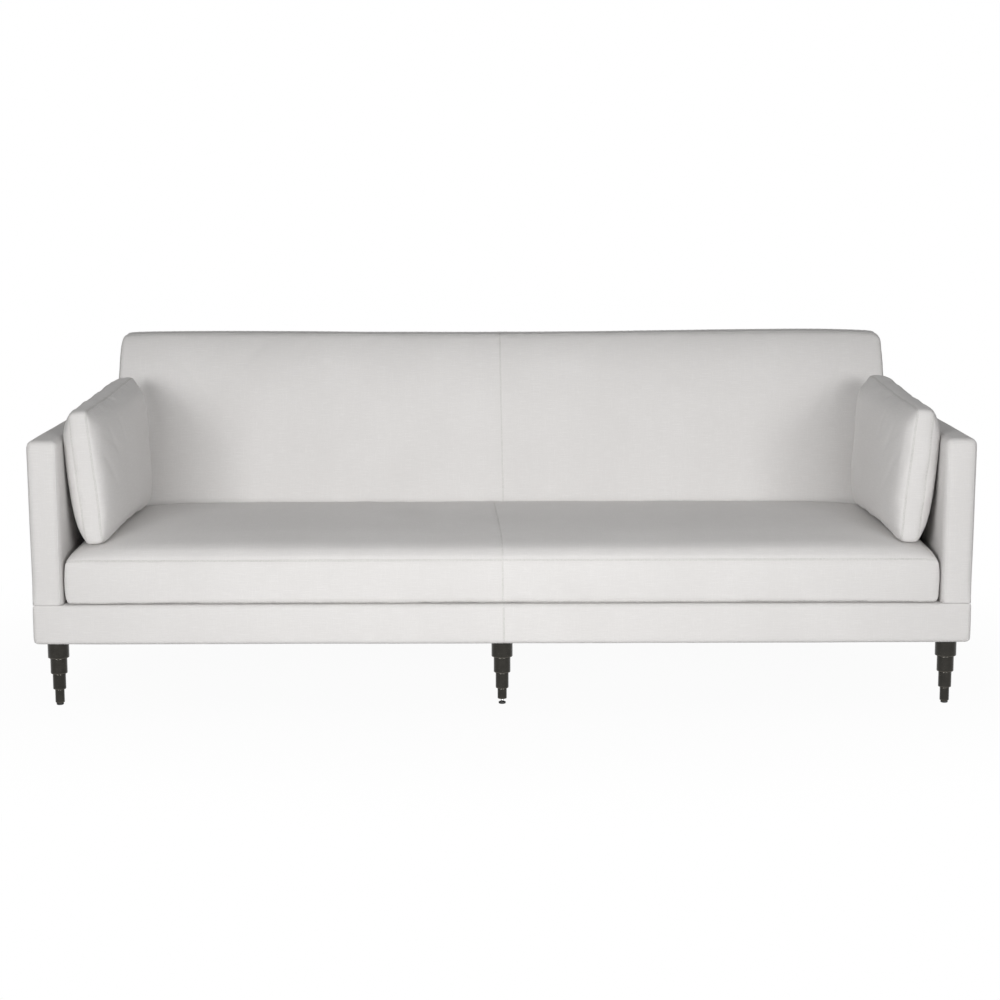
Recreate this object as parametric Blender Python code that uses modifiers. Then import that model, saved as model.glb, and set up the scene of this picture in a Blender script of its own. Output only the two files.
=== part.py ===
"""A long upholstered sofa on stepped metal legs, as the pieces it comes apart into.

Metres, +Z up. The sofa faces -Y, +X is to the right of someone looking at its front, and the
origin is on the floor under the middle of the whole sofa.
"""

import math

import bmesh
import bpy
from mathutils import Matrix, Vector
from mathutils.bvhtree import BVHTree

# Overall sizes
WIDTH = 2.300
DEPTH = 0.900
ARM_HEIGHT = 0.667
ARM_WIDTH = 0.074
BACK_HEIGHT = 0.870
LEG_HEIGHT = 0.163
BASE_HEIGHT = 0.098

# Fits between pieces
GAP = 0.0003
SOFT_GAP = 0.0005
OVERRUN = 0.010
WELD = 0.00003

# Cloth and padding
CLOTH = 0.002
EDGE_ROUND = 0.011
ARM_PAD = 0.008
DECK_PAD = 0.010
HEM = 0.030
BACK_PAD = 0.060
BACK_TOP_PAD = 0.012

# Timber
BOARD = 0.030
TIMBER_EASE = 0.002
POST_DEPTH = 0.067
TOP_RAIL_HEIGHT = 0.035
CORNER_BLOCK = 0.095
CORNER_BLOCK_HEIGHT = 0.050
STRETCHER_WIDTH = 0.070
STRETCHER_SAG_ROOM = 0.020
TUCK_RAIL_HEIGHT = 0.060
TUCK_RAIL_LIFT = 0.030

# Back
BACK_DEPTH = 0.311
BACK_TOP_DEPTH = 0.109
BACK_TOP_INSET = 0.100
REAR_RAKE = math.radians(2.0)
BACK_SIDE_GAP = 0.002
BACK_ROUND = 0.020
BACK_CROWN = 0.020
BACK_TOP_SAG = 0.005
BACK_SHOULDER_RUN = 0.060

# Webbing
WEB_THICK = 0.0018
WEB_BITE = 0.0002
SEAT_WEB_WIDTH = 0.070
SEAT_WEB_PITCH = 0.170
SEAT_LONG_WEBS = 4
BACK_WEB_WIDTH = 0.070
BACK_WEB_PITCH = 0.240
BACK_LONG_WEBS = 3
WEB_SLOPE = 0.012
WEB_END = 0.024

# Seat cushion
SEAT_END_GAP = 0.001
SEAT_FRONT_SETBACK = 0.006
SEAT_BOXING = 0.105
SEAT_CROWN = 0.062
SEAT_BULGE = 0.007
SEAT_PULL = 0.004
SEAT_BACK_GAP = 0.003

# Side cushions
SIDE_OVER_SEAT = 0.001
SIDE_HEIGHT = 0.350
SIDE_BOXING = 0.044
SIDE_CROWN = 0.041
SIDE_BULGE = 0.004
SIDE_PULL = 0.012
SIDE_LEAN = math.radians(5.4)
SIDE_TOE = math.radians(2.6)
SIDE_PITCH = math.radians(1.4)
SIDE_BACK_GAP = 0.008

# Legs and levelling glides
LEG_SIDE_INSET = 0.050
LEG_FRONT_INSET = 0.055
LEG_STEP_DIAMETERS = (0.0525, 0.0415, 0.0322, 0.0230)
LEG_UPPER_STEP_HEIGHTS = (0.042, 0.040, 0.040)
LEG_EASE = 0.001
CENTRE_LEG_SHORTER = 0.007
STUD_DIAMETER = 0.008
STUD_LENGTH = 0.045
STUD_BORE = 0.0095
STUD_HOLE = 0.012
GLIDE_BORE = 0.0088
GLIDE_BORE_DEPTH = 0.045
GLIDE_STEM_DIAMETER = 0.008
GLIDE_STEM_LENGTH = 0.030
GLIDE_STEM_NECK = 0.0055
GLIDE_PAD_DIAMETER = 0.018
GLIDE_PAD_HEIGHT = 0.006
GLIDE_PAD_ROUND = 0.0018
GLIDE_SOCKET = 0.0065
GLIDE_SOCKET_DEPTH = 0.0025

# Shares of a form, chosen by eye
CUSHION_END_shares = (0.0, 0.42, 0.80, 0.972, 1.0)
SEAT_DEPTH_shares = (-1.0, -0.86, -0.50, 0.0, 0.50, 0.92, 1.0)
SIDE_DEPTH_shares = (-1.0, -0.92, -0.50, 0.0, 0.40, 0.82, 1.0)
SIDE_HEIGHT_shares = (0.0, 0.40, 0.80, 1.0)
SEAT_REAR_share = 0.95
SEAT_REAR_power = 3
BACK_ACROSS_shares = (0.0, 0.25, 0.50, 0.78)
BACK_UP_shares = (0.12, 0.45, 0.78)
BACK_THROUGH_shares = (0.0, 0.10, 0.55, 1.0)
SEWN_EDGE_share = 0.7

# How squarely a crown falls away at its edges: a power and a rounding, chosen by eye
SEAT_END_fall = (36, 0.5)
SEAT_FRONT_fall = (5, 0.6)
SIDE_INNER_fall = (6, 0.6)
SIDE_OUTER_fall = (16, 0.6)
SIDE_UP_fall = (4, 0.6)
BACK_SIDE_fall = (8, 0.7)
BACK_UP_fall = (4, 0.7)

# Counts, and the shape number of a bevel that is part of a circle
ROUND_SIDES = 18
SMALL_SIDES = 12
EDGE_SEGMENTS = 2
ROUND = 0.5

# Levels and depths worked out from the sizes above
FRONT = -DEPTH / 2
REAR = DEPTH / 2
BASE_TOP = LEG_HEIGHT + BASE_HEIGHT
SEAT_DEPTH = DEPTH - BACK_DEPTH
SIDE_LENGTH = SEAT_DEPTH + SIDE_OVER_SEAT
FRAME_BOTTOM = LEG_HEIGHT + CLOTH + GAP
WEB_WAVE = (WEB_THICK - WEB_BITE) / 2
WEB_STACK = 2 * WEB_THICK - WEB_BITE
DECK_PAD_BOTTOM = BASE_TOP - CLOTH - GAP - DECK_PAD
FRAME_TOP = DECK_PAD_BOTTOM - GAP - WEB_STACK - GAP
WRAP = CLOTH + GAP + ARM_PAD + GAP
LIP = WRAP - GAP
RAIL_SETBACK = EDGE_ROUND + GAP
ARM_INNER = WIDTH / 2 - ARM_WIDTH
TIMBER_INNER = ARM_INNER + WRAP
TIMBER_OUTER = WIDTH / 2 - WRAP
DECK_HALF = TIMBER_INNER - GAP
RAIL_BACK_FACE = FRONT + RAIL_SETBACK + BOARD
REAR_FOOT = REAR - LIP - GAP
BACK_RISE = BACK_HEIGHT - BASE_TOP
BACK_TOP_FRONT = REAR_FOOT - BACK_RISE * math.tan(REAR_RAKE) - BACK_TOP_DEPTH
BACK_RECLINE = math.atan((BACK_TOP_FRONT - FRONT - SEAT_DEPTH) / BACK_RISE)
BACK_TOP_HALF = WIDTH / 2 - BACK_TOP_INSET
BACK_TIMBER_SET = (CLOTH + GAP + BACK_PAD + GAP + WEB_STACK + GAP) / math.cos(BACK_RECLINE)
BACK_TIMBER_TOP = BACK_HEIGHT - CLOTH - GAP - BACK_TOP_PAD - GAP
BACK_TIMBER_HALF = BACK_TOP_HALF - CLOTH - GAP - BACK_TOP_PAD - GAP


def front_line(z, set_back=0.0):
    """Where the reclined front of the back is at height z, before its crown."""
    return FRONT + SEAT_DEPTH + (z - BASE_TOP) * math.tan(BACK_RECLINE) + set_back


def rear_line(z, set_in=0.0):
    return REAR_FOOT - (z - BASE_TOP) * math.tan(REAR_RAKE) - set_in


SEAT_RAIL_REAR = front_line(BASE_TOP, BACK_TIMBER_SET) - GAP


def clear_scene():
    for obj in list(bpy.data.objects):
        bpy.data.objects.remove(obj, do_unlink=True)
    for collection in list(bpy.data.collections):
        bpy.data.collections.remove(collection)


clear_scene()
SOFA = bpy.data.collections.new("sofa")
CUTTERS = bpy.data.collections.new("cutters")
for made in (SOFA, CUTTERS):
    bpy.context.scene.collection.children.link(made)
CUTTERS.hide_render = True


def material(name, colour, roughness, metallic=0.0):
    made = bpy.data.materials.new(name)
    made.use_nodes = True
    shader = made.node_tree.nodes["Principled BSDF"]
    shader.inputs["Base Color"].default_value = (*colour, 1.0)
    shader.inputs["Roughness"].default_value = roughness
    shader.inputs["Metallic"].default_value = metallic
    return made


def off_white_cloth(name):
    return material(name, (0.74, 0.73, 0.70), 0.9)


def foam(name):
    return material(name, (0.80, 0.74, 0.52), 0.95)


def timber(name):
    return material(name, (0.55, 0.37, 0.20), 0.7)


def elastic_web(name):
    return material(name, (0.12, 0.11, 0.10), 0.85)


def dark_bronze(name):
    return material(name, (0.045, 0.042, 0.036), 0.38, 0.9)


def bright_steel(name):
    return material(name, (0.60, 0.60, 0.60), 0.25, 1.0)


def black_nylon(name):
    return material(name, (0.02, 0.02, 0.02), 0.6)


def black_cambric(name):
    return material(name, (0.03, 0.03, 0.03), 0.95)


def add_object(name, data, look=None, collection=None):
    obj = bpy.data.objects.new(name, data)
    (collection or SOFA).objects.link(obj)
    if look is not None:
        data.materials.append(look(name))
    return obj


def add_helper(name, data):
    obj = add_object(name, data, collection=CUTTERS)
    obj.hide_render = True
    obj.display_type = "WIRE"
    return obj


def mesh_from(bm, name):
    bmesh.ops.recalc_face_normals(bm, faces=bm.faces)
    mesh = bpy.data.meshes.new(name)
    bm.to_mesh(mesh)
    bm.free()
    return mesh


def face_outwards(obj, middle):
    """An open surface's winding decides where its thickness goes, so its faces must look out."""
    face = max(obj.data.polygons, key=lambda polygon: polygon.area)
    if face.normal.dot(face.center - Vector(middle)) < 0:
        obj.data.flip_normals()


def add_thickness(obj, thickness, middle):
    face_outwards(obj, middle)
    solidify = obj.modifiers.new("thickness", "SOLIDIFY")
    solidify.thickness = thickness
    solidify.offset = -1.0
    solidify.use_even_offset = True


def box_bmesh(low, high):
    low = Vector(low)
    high = Vector(high)
    bm = bmesh.new()
    bmesh.ops.create_cube(bm, size=1.0)
    bmesh.ops.scale(bm, vec=high - low, verts=bm.verts)
    bmesh.ops.translate(bm, vec=(low + high) / 2, verts=bm.verts)
    return bm


def add_bevel(obj, width, segments):
    bevel = obj.modifiers.new("eased_edges", "BEVEL")
    bevel.width = width
    bevel.segments = segments
    bevel.limit_method = "ANGLE"
    return bevel


def board(name, low, high, look=timber):
    obj = add_object(name, mesh_from(box_bmesh(low, high), name), look)
    add_bevel(obj, TIMBER_EASE, 1)
    return obj


def cut(obj, *cutters):
    for cutter in cutters:
        boolean = obj.modifiers.new("cut_" + cutter.name, "BOOLEAN")
        boolean.operation = "DIFFERENCE"
        boolean.solver = "EXACT"
        boolean.object = cutter


def box_cutter(name, low, high):
    return add_helper(name, mesh_from(box_bmesh(low, high), name))


def sided(side, low, high):
    """The corners of a box given for the right hand side, on the side asked for."""
    if side > 0:
        return low, high
    return (-high[0], low[1], low[2]), (-low[0], high[1], high[2])


def plate(name, outline, x_low, x_high, look=timber):
    """A flat outline of (y, z) points given a thickness along X."""
    turn = Matrix(((0, 0, 1, (x_low + x_high) / 2), (1, 0, 0, 0), (0, 1, 0, 0), (0, 0, 0, 1)))
    return filled_outline(name, (outline,), x_high - x_low, turn, look)


def filled_outline(name, loops, thickness, place, look):
    """An outline, and any holes in it, as a solid of the given thickness."""
    curve = bpy.data.curves.new(name, "CURVE")
    curve.dimensions = "2D"
    curve.fill_mode = "BOTH"
    curve.extrude = thickness / 2
    for points in loops:
        spline = curve.splines.new("POLY")
        spline.points.add(len(points) - 1)
        for point, (across, up) in zip(spline.points, points):
            point.co = (across, up, 0.0, 1.0)
        spline.use_cyclic_u = True
    obj = add_object(name + "_outline", curve)
    obj.matrix_world = place
    bpy.context.view_layer.update()
    graph = bpy.context.evaluated_depsgraph_get()
    mesh = bpy.data.meshes.new_from_object(obj.evaluated_get(graph))
    mesh.transform(place)
    bpy.data.objects.remove(obj, do_unlink=True)
    bm = bmesh.new()
    bm.from_mesh(mesh)
    bmesh.ops.remove_doubles(bm, verts=bm.verts, dist=WELD)
    bmesh.ops.recalc_face_normals(bm, faces=bm.faces)
    bm.to_mesh(mesh)
    bm.free()
    mesh.materials.clear()
    if look is None:
        return add_helper(name, mesh)
    return add_object(name, mesh, look)


def circle_points(centre, radius, sides):
    steps = (math.tau * i / sides for i in range(sides))
    return [(centre[0] + radius * math.cos(a), centre[1] + radius * math.sin(a)) for a in steps]


def turned(name, profile, look, sides, place=(0.0, 0.0, 0.0), helper=False):
    """A profile of (radius, height) points, top to bottom down its outer side, turned round Z."""
    bm = bmesh.new()
    verts = [bm.verts.new((radius, 0.0, height)) for radius, height in profile]
    for upper, lower in zip(verts, verts[1:]):
        bm.edges.new((upper, lower))
    mesh = bpy.data.meshes.new(name)
    bm.to_mesh(mesh)
    bm.free()
    obj = add_helper(name, mesh) if helper else add_object(name, mesh, look)
    screw = obj.modifiers.new("turn", "SCREW")
    screw.steps = sides
    screw.render_steps = sides
    screw.use_merge_vertices = True
    screw.merge_threshold = WELD
    screw.use_smooth_shade = True
    obj.location = place
    return obj


def post_bore(name, x, y, bottom, depth):
    radius = STUD_BORE / 2
    profile = ((0.0, bottom + depth), (radius, bottom + depth), (radius, bottom - OVERRUN))
    profile += ((0.0, bottom - OVERRUN),)
    return turned(name, profile, None, SMALL_SIDES, (x, y, 0.0), helper=True)


# Cloth and padding of the arms and the base
def arm_wrap(name, side, inset, thickness, hem, look):
    """An open-bottomed box of one layer round an arm, cut away under the seat and at the bands."""
    low = (ARM_INNER + inset, FRONT + inset, LEG_HEIGHT + inset)
    high = (WIDTH / 2 - inset, REAR - inset, ARM_HEIGHT - inset)
    rounding = max(EDGE_ROUND - inset, thickness + GAP)
    bm = box_bmesh(*sided(side, low, high))
    bottom = min(bm.faces, key=lambda face: face.calc_center_median().z)
    kept = [edge for edge in bm.edges if edge not in bottom.edges]
    bmesh.ops.bevel(
        bm, geom=kept, offset=rounding, segments=EDGE_SEGMENTS, affect="EDGES", profile=ROUND
    )
    if not hem:
        bottom = min(bm.faces, key=lambda face: face.calc_center_median().z)
        bmesh.ops.delete(bm, geom=[bottom], context="FACES")
    obj = add_object(name, mesh_from(bm, name), look)
    add_thickness(obj, thickness, (side * (low[0] + high[0]) / 2, 0.0, ARM_HEIGHT / 2))
    below = LEG_HEIGHT - OVERRUN
    inner = ARM_INNER - OVERRUN
    outer = WIDTH / 2 - inset
    floor = low[2] + thickness
    seat_top = BASE_TOP + GAP
    end_depth = FRONT + HEM + GAP
    hollow = outer - thickness - rounding
    seat_floor = floor if hem else below
    rooms = {
        "seat": ((inner, FRONT - OVERRUN, seat_floor), (hollow, REAR + OVERRUN, seat_top)),
        "front": ((inner, FRONT - OVERRUN, below), (outer + OVERRUN, end_depth, seat_top)),
        "rear": ((inner, -end_depth, below), (outer + OVERRUN, REAR + OVERRUN, seat_top)),
    }
    if hem:
        hem_end = (outer - hem, REAR + OVERRUN, floor + GAP)
        rooms["bottom"] = ((inner, FRONT - OVERRUN, below), hem_end)
    for place, (room_low, room_high) in rooms.items():
        cut(obj, box_cutter(f"{name}_{place}_room", *sided(side, room_low, room_high)))
    return obj


def band_cover(name, facing):
    """The cloth of the front or rear band: its face, two end wraps, a top lip and a bottom hem."""
    low = (-WIDTH / 2, FRONT, LEG_HEIGHT)
    high = (WIDTH / 2, FRONT + HEM, BASE_TOP)
    bm = box_bmesh(low, high)
    back = max(bm.faces, key=lambda face: face.calc_center_median().y)
    kept = [edge for edge in bm.edges if edge not in back.edges]
    bmesh.ops.bevel(
        bm, geom=kept, offset=EDGE_ROUND, segments=EDGE_SEGMENTS, affect="EDGES", profile=ROUND
    )
    back = max(bm.faces, key=lambda face: face.calc_center_median().y)
    bmesh.ops.delete(bm, geom=[back], context="FACES")
    if facing > 0:
        bmesh.ops.scale(bm, vec=(1.0, -1.0, 1.0), verts=bm.verts)
    obj = add_object(name, mesh_from(bm, name), off_white_cloth)
    add_thickness(obj, CLOTH, (0.0, 0.0, LEG_HEIGHT))
    trim_low = (-WIDTH / 2 + LIP, FRONT + LIP, LEG_HEIGHT + BASE_HEIGHT / 2)
    trim_high = (WIDTH / 2 - LIP, FRONT + HEM + OVERRUN, BASE_TOP + OVERRUN)
    if facing > 0:
        trim_low, trim_high = (
            (trim_low[0], -trim_high[1], trim_low[2]),
            (trim_high[0], -trim_low[1], trim_high[2]),
        )
    cut(obj, box_cutter(name + "_lip_trim", trim_low, trim_high))
    return obj


def deck_sheet(name, z_low, z_high, front, look):
    low = (-DECK_HALF, front, z_low)
    high = (DECK_HALF, SEAT_RAIL_REAR, z_high)
    return add_object(name, mesh_from(box_bmesh(low, high), name), look)


def leg_places():
    side = WIDTH / 2 - LEG_SIDE_INSET
    front = FRONT + LEG_FRONT_INSET
    for row, y in (("front", front), ("rear", -front)):
        for column, x in (("left", -side), ("centre", 0.0), ("right", side)):
            yield f"{row}_{column}", x, y


def dust_cover():
    """The thin black sheet that closes the bottom, with a round hole for each leg's stud."""
    half = WIDTH / 2 - HEM - GAP
    deep = DEPTH / 2 - HEM - GAP
    outline = ((-half, -deep), (half, -deep), (half, deep), (-half, deep))
    holes = [circle_points((x, y), STUD_HOLE / 2, SMALL_SIDES) for _, x, y in leg_places()]
    place = Matrix.Translation((0.0, 0.0, LEG_HEIGHT + CLOTH / 2))
    return filled_outline("dust_cover", (outline, *holes), CLOTH, place, black_cambric)


# Timber frame
def base_frame():
    """The four outer rails, the rail behind the seat, the stretcher and the corner blocks."""
    for name, facing in (("front_rail", -1), ("rear_rail", 1)):
        face = FRONT + RAIL_SETBACK
        near, far = (face, face + BOARD) if facing < 0 else (-face - BOARD, -face)
        board(name, (-TIMBER_OUTER, near, FRAME_BOTTOM), (TIMBER_OUTER, far, FRAME_TOP))
    post_inner = -FRONT - WRAP - POST_DEPTH - GAP
    for side, hand in ((-1, "left"), (1, "right")):
        low = (TIMBER_INNER, -post_inner, FRAME_BOTTOM)
        high = (TIMBER_OUTER, post_inner, FRAME_TOP)
        board(f"side_rail_{hand}", *sided(side, low, high))
    board(
        "seat_back_rail",
        (-DECK_HALF, SEAT_RAIL_REAR - BOARD, FRAME_BOTTOM),
        (DECK_HALF, SEAT_RAIL_REAR, FRAME_TOP),
    )
    stretcher = board(
        "centre_stretcher",
        (-STRETCHER_WIDTH / 2, RAIL_BACK_FACE + GAP, FRAME_BOTTOM),
        (STRETCHER_WIDTH / 2, -RAIL_BACK_FACE - GAP, FRAME_TOP - STRETCHER_SAG_ROOM),
    )
    notch_low = (-STRETCHER_WIDTH, SEAT_RAIL_REAR - BOARD - GAP, FRAME_BOTTOM + BOARD)
    notch_high = (STRETCHER_WIDTH, SEAT_RAIL_REAR + GAP, FRAME_TOP)
    cut(stretcher, box_cutter("stretcher_notch", notch_low, notch_high))
    rail = bpy.data.objects["seat_back_rail"]
    lap_low = (-STRETCHER_WIDTH / 2 - GAP, SEAT_RAIL_REAR - BOARD - OVERRUN, LEG_HEIGHT)
    lap_high = (STRETCHER_WIDTH / 2 + GAP, SEAT_RAIL_REAR + OVERRUN, FRAME_BOTTOM + BOARD + GAP)
    cut(rail, box_cutter("seat_back_rail_lap", lap_low, lap_high))
    for name, x, y in leg_places():
        if x == 0.0:
            cut(stretcher, post_bore(f"stretcher_bore_{name}", x, y, FRAME_BOTTOM, STUD_LENGTH))
    corner_blocks()


def corner_blocks():
    """Glued triangles in the four corners of the seat's box of rails."""
    corner_x = TIMBER_INNER - GAP
    z_high = FRAME_BOTTOM + CORNER_BLOCK_HEIGHT
    rows = (("front", 1, RAIL_BACK_FACE + GAP), ("rear", -1, SEAT_RAIL_REAR - BOARD - GAP))
    for row, along, corner_y in rows:
        for hand, side in (("left", -1), ("right", 1)):
            name = f"corner_block_{row}_{hand}"
            bm = box_bmesh((0.0, 0.0, FRAME_BOTTOM), (CORNER_BLOCK, CORNER_BLOCK, z_high))
            geometry = bm.verts[:] + bm.edges[:] + bm.faces[:]
            middle = (CORNER_BLOCK / 2, CORNER_BLOCK / 2, FRAME_BOTTOM)
            bmesh.ops.bisect_plane(
                bm, geom=geometry, plane_co=middle, plane_no=(1.0, 1.0, 0.0), clear_outer=True
            )
            bmesh.ops.holes_fill(bm, edges=bm.edges[:])
            bmesh.ops.scale(bm, vec=(-side, along, 1.0), verts=bm.verts)
            bmesh.ops.translate(bm, vec=(side * corner_x, corner_y, 0.0), verts=bm.verts)
            obj = add_object(name, mesh_from(bm, name), timber)
            add_bevel(obj, TIMBER_EASE, 1)


def arm_frames():
    """Front and rear post and top rail of each arm; the posts are notched over the base rails."""
    top = ARM_HEIGHT - WRAP
    post_top = top - TOP_RAIL_HEIGHT - GAP
    for side, hand in ((-1, "left"), (1, "right")):
        low = (TIMBER_INNER, FRONT + WRAP, top - TOP_RAIL_HEIGHT)
        high = (TIMBER_OUTER, REAR - WRAP, top)
        board(f"arm_top_rail_{hand}", *sided(side, low, high))
        for row, facing in (("front", 1), ("rear", -1)):
            ends = sorted((facing * (FRONT + WRAP), facing * (FRONT + WRAP + POST_DEPTH)))
            low = (TIMBER_INNER, ends[0], FRAME_BOTTOM)
            high = (TIMBER_OUTER, ends[1], post_top)
            post = board(f"arm_{row}_post_{hand}", *sided(side, low, high))
            notch = sorted((facing * (FRONT - OVERRUN), facing * (RAIL_BACK_FACE + GAP)))
            low = (TIMBER_INNER - OVERRUN, notch[0], FRAME_BOTTOM - OVERRUN)
            high = (TIMBER_OUTER + OVERRUN, notch[1], FRAME_TOP + GAP)
            cut(post, box_cutter(f"arm_{row}_notch_{hand}", *sided(side, low, high)))
            place = next((x, y) for name, x, y in leg_places() if name == f"{row}_{hand}")
            cut(post, post_bore(f"post_bore_{row}_{hand}", *place, FRAME_BOTTOM, STUD_LENGTH))


def back_frame():
    """Shaped posts, seated behind the seat rail and over the rear rail, with two rails between."""
    rail_front = front_line(BASE_TOP, BACK_TIMBER_SET)
    rear_rail_face = -RAIL_BACK_FACE
    top = BACK_TIMBER_TOP
    cloth_room = CLOTH + GAP
    heel = [
        (rail_front, FRAME_BOTTOM),
        (rear_rail_face - GAP, FRAME_BOTTOM),
        (rear_rail_face - GAP, FRAME_TOP + GAP),
        (rear_line(FRAME_TOP, cloth_room), FRAME_TOP + GAP),
    ]

    def post_outline(post_top, front_set):
        tuck_top = BASE_TOP + TUCK_RAIL_LIFT + TUCK_RAIL_HEIGHT + GAP
        outline = heel + [
            (rear_line(post_top, cloth_room), post_top),
            (front_line(post_top, BACK_TIMBER_SET), post_top),
        ]
        if front_set:
            outline.append((front_line(tuck_top, BACK_TIMBER_SET), tuck_top))
            outline.append((front_line(tuck_top, BACK_TIMBER_SET + front_set), tuck_top))
            outline.append((front_line(BASE_TOP, BACK_TIMBER_SET + front_set), BASE_TOP))
        outline.append((rail_front, BASE_TOP))
        return outline

    inner = BACK_TIMBER_HALF - BOARD
    plate("back_post_right", post_outline(top, 0.0), inner, BACK_TIMBER_HALF)
    plate("back_post_left", post_outline(top, 0.0), -BACK_TIMBER_HALF, -inner)
    centre = post_outline(top - BOARD - GAP, BOARD + GAP)
    centre_post = plate("back_centre_post", centre, -BOARD / 2, BOARD / 2)
    stretcher_low = (-BOARD, rail_front - OVERRUN, FRAME_BOTTOM - OVERRUN)
    stretcher_high = (BOARD, rear_rail_face, FRAME_TOP - STRETCHER_SAG_ROOM + GAP)
    cut(centre_post, box_cutter("centre_post_foot", stretcher_low, stretcher_high))
    half = inner - GAP
    low = top - BOARD
    plate(
        "back_top_rail",
        (
            (front_line(low, BACK_TIMBER_SET), low),
            (rear_line(low, cloth_room), low),
            (rear_line(top, cloth_room), top),
            (front_line(top, BACK_TIMBER_SET), top),
        ),
        -half,
        half,
    )
    low = BASE_TOP + TUCK_RAIL_LIFT
    high = low + TUCK_RAIL_HEIGHT
    plate(
        "back_tuck_rail",
        (
            (front_line(low, BACK_TIMBER_SET), low),
            (front_line(low, BACK_TIMBER_SET + BOARD), low),
            (front_line(high, BACK_TIMBER_SET + BOARD), high),
            (front_line(high, BACK_TIMBER_SET), high),
        ),
        -half,
        half,
    )


# Webbing
def strap_bmesh(length, width, crossings, wave_sign):
    """A flat strap along X that steps over and under at each crossing, given as its centres."""
    corner = Vector((length, width, WEB_THICK)) / 2
    bm = box_bmesh(-corner, corner)
    levels = []
    for index, (centre, half) in enumerate(crossings):
        sign = wave_sign if index % 2 == 0 else -wave_sign
        for edge in (centre - half, centre + half):
            bmesh.ops.bisect_plane(
                bm,
                geom=bm.verts[:] + bm.edges[:] + bm.faces[:],
                plane_co=(edge, 0.0, 0.0),
                plane_no=(1.0, 0.0, 0.0),
            )
            levels.append((edge, sign * WEB_WAVE))
    for vert in bm.verts:
        near = min(levels, key=lambda level: abs(level[0] - vert.co.x))
        end = abs(abs(vert.co.x) - length / 2) < GAP
        vert.co.z += -WEB_WAVE if end else near[1]
    return bm


def woven_net(name, length, height, long_rows, cross_rows, strap_width, place, look):
    """Straps along X and straps across them, over and under in turn, joined where they cross."""
    half = strap_width / 2 + WEB_SLOPE / 2
    group = bpy.data.collections.new(name + "_straps")
    CUTTERS.children.link(group)
    group.hide_render = True
    straps = []
    for row, y in enumerate(long_rows):
        crossings = [(x, half) for x in cross_rows]
        bm = strap_bmesh(length, strap_width, crossings, 1 if row % 2 else -1)
        bmesh.ops.translate(bm, vec=(0.0, y, 0.0), verts=bm.verts)
        straps.append(mesh_from(bm, f"{name}_long_{row}"))
    for column, x in enumerate(cross_rows):
        crossings = [(y, half) for y in long_rows]
        bm = strap_bmesh(height, strap_width, crossings, -1 if column % 2 else 1)
        quarter = Matrix.Rotation(math.pi / 2, 3, "Z")
        bmesh.ops.rotate(bm, cent=(0.0, 0.0, 0.0), matrix=quarter, verts=bm.verts)
        bmesh.ops.translate(bm, vec=(x, 0.0, 0.0), verts=bm.verts)
        straps.append(mesh_from(bm, f"{name}_cross_{column}"))
    for mesh in straps:
        mesh.transform(place)
    net = add_object(name, straps[0], look)
    for mesh in straps[1:]:
        obj = bpy.data.objects.new(mesh.name, mesh)
        group.objects.link(obj)
        obj.hide_render = True
        obj.display_type = "WIRE"
    union = net.modifiers.new("weave", "BOOLEAN")
    union.operation = "UNION"
    union.solver = "EXACT"
    union.operand_type = "COLLECTION"
    union.collection = group
    return net


def spread(low, high, count):
    """Evenly spaced places between two ends, the ends among them."""
    return [low + (high - low) * i / (count - 1) for i in range(count)]


def seat_webbing():
    front = FRONT + RAIL_SETBACK
    rear = SEAT_RAIL_REAR
    height = rear - front - 2 * (BOARD - WEB_END)
    middle = (front + rear) / 2
    length = 2 * (TIMBER_INNER + WEB_END)
    inner_front = FRONT + WRAP + POST_DEPTH + SEAT_WEB_WIDTH - middle
    inner_rear = rear - BOARD - SEAT_WEB_WIDTH - middle
    rows = spread(inner_front, inner_rear, SEAT_LONG_WEBS)
    count = 2 * round((TIMBER_INNER - SEAT_WEB_WIDTH) / SEAT_WEB_PITCH)
    end = SEAT_WEB_PITCH * (count - 1) / 2
    level = FRAME_TOP + GAP + WEB_STACK / 2
    place = Matrix.Translation((0.0, middle, level))
    columns = spread(-end, end, count)
    return woven_net(
        "seat_webbing", length, height, rows, columns, SEAT_WEB_WIDTH, place, elastic_web
    )


def back_webbing():
    """A net on the front edges of the back posts, tilted with them."""
    low = BASE_TOP + TUCK_RAIL_LIFT
    height = (BACK_TIMBER_TOP - low) / math.cos(BACK_RECLINE) - 2 * (BOARD - WEB_END)
    middle = (low + BACK_TIMBER_TOP) / 2
    length = 2 * BACK_TIMBER_HALF - 2 * (BOARD - WEB_END)
    reach = height / 2 - TUCK_RAIL_HEIGHT - BACK_WEB_WIDTH
    rows = spread(-reach, reach, BACK_LONG_WEBS)
    count = 2 * round((BACK_TIMBER_HALF - BACK_WEB_WIDTH) / BACK_WEB_PITCH)
    end = BACK_WEB_PITCH * (count - 1) / 2
    forward = (GAP + WEB_STACK / 2) / math.cos(BACK_RECLINE)
    centre = (0.0, front_line(middle, BACK_TIMBER_SET) - forward, middle)
    place = Matrix.Translation(centre) @ Matrix.Rotation(math.pi / 2 - BACK_RECLINE, 4, "X")
    columns = spread(-end, end, count)
    return woven_net(
        "back_webbing", length, height, rows, columns, BACK_WEB_WIDTH, place, elastic_web
    )


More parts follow.
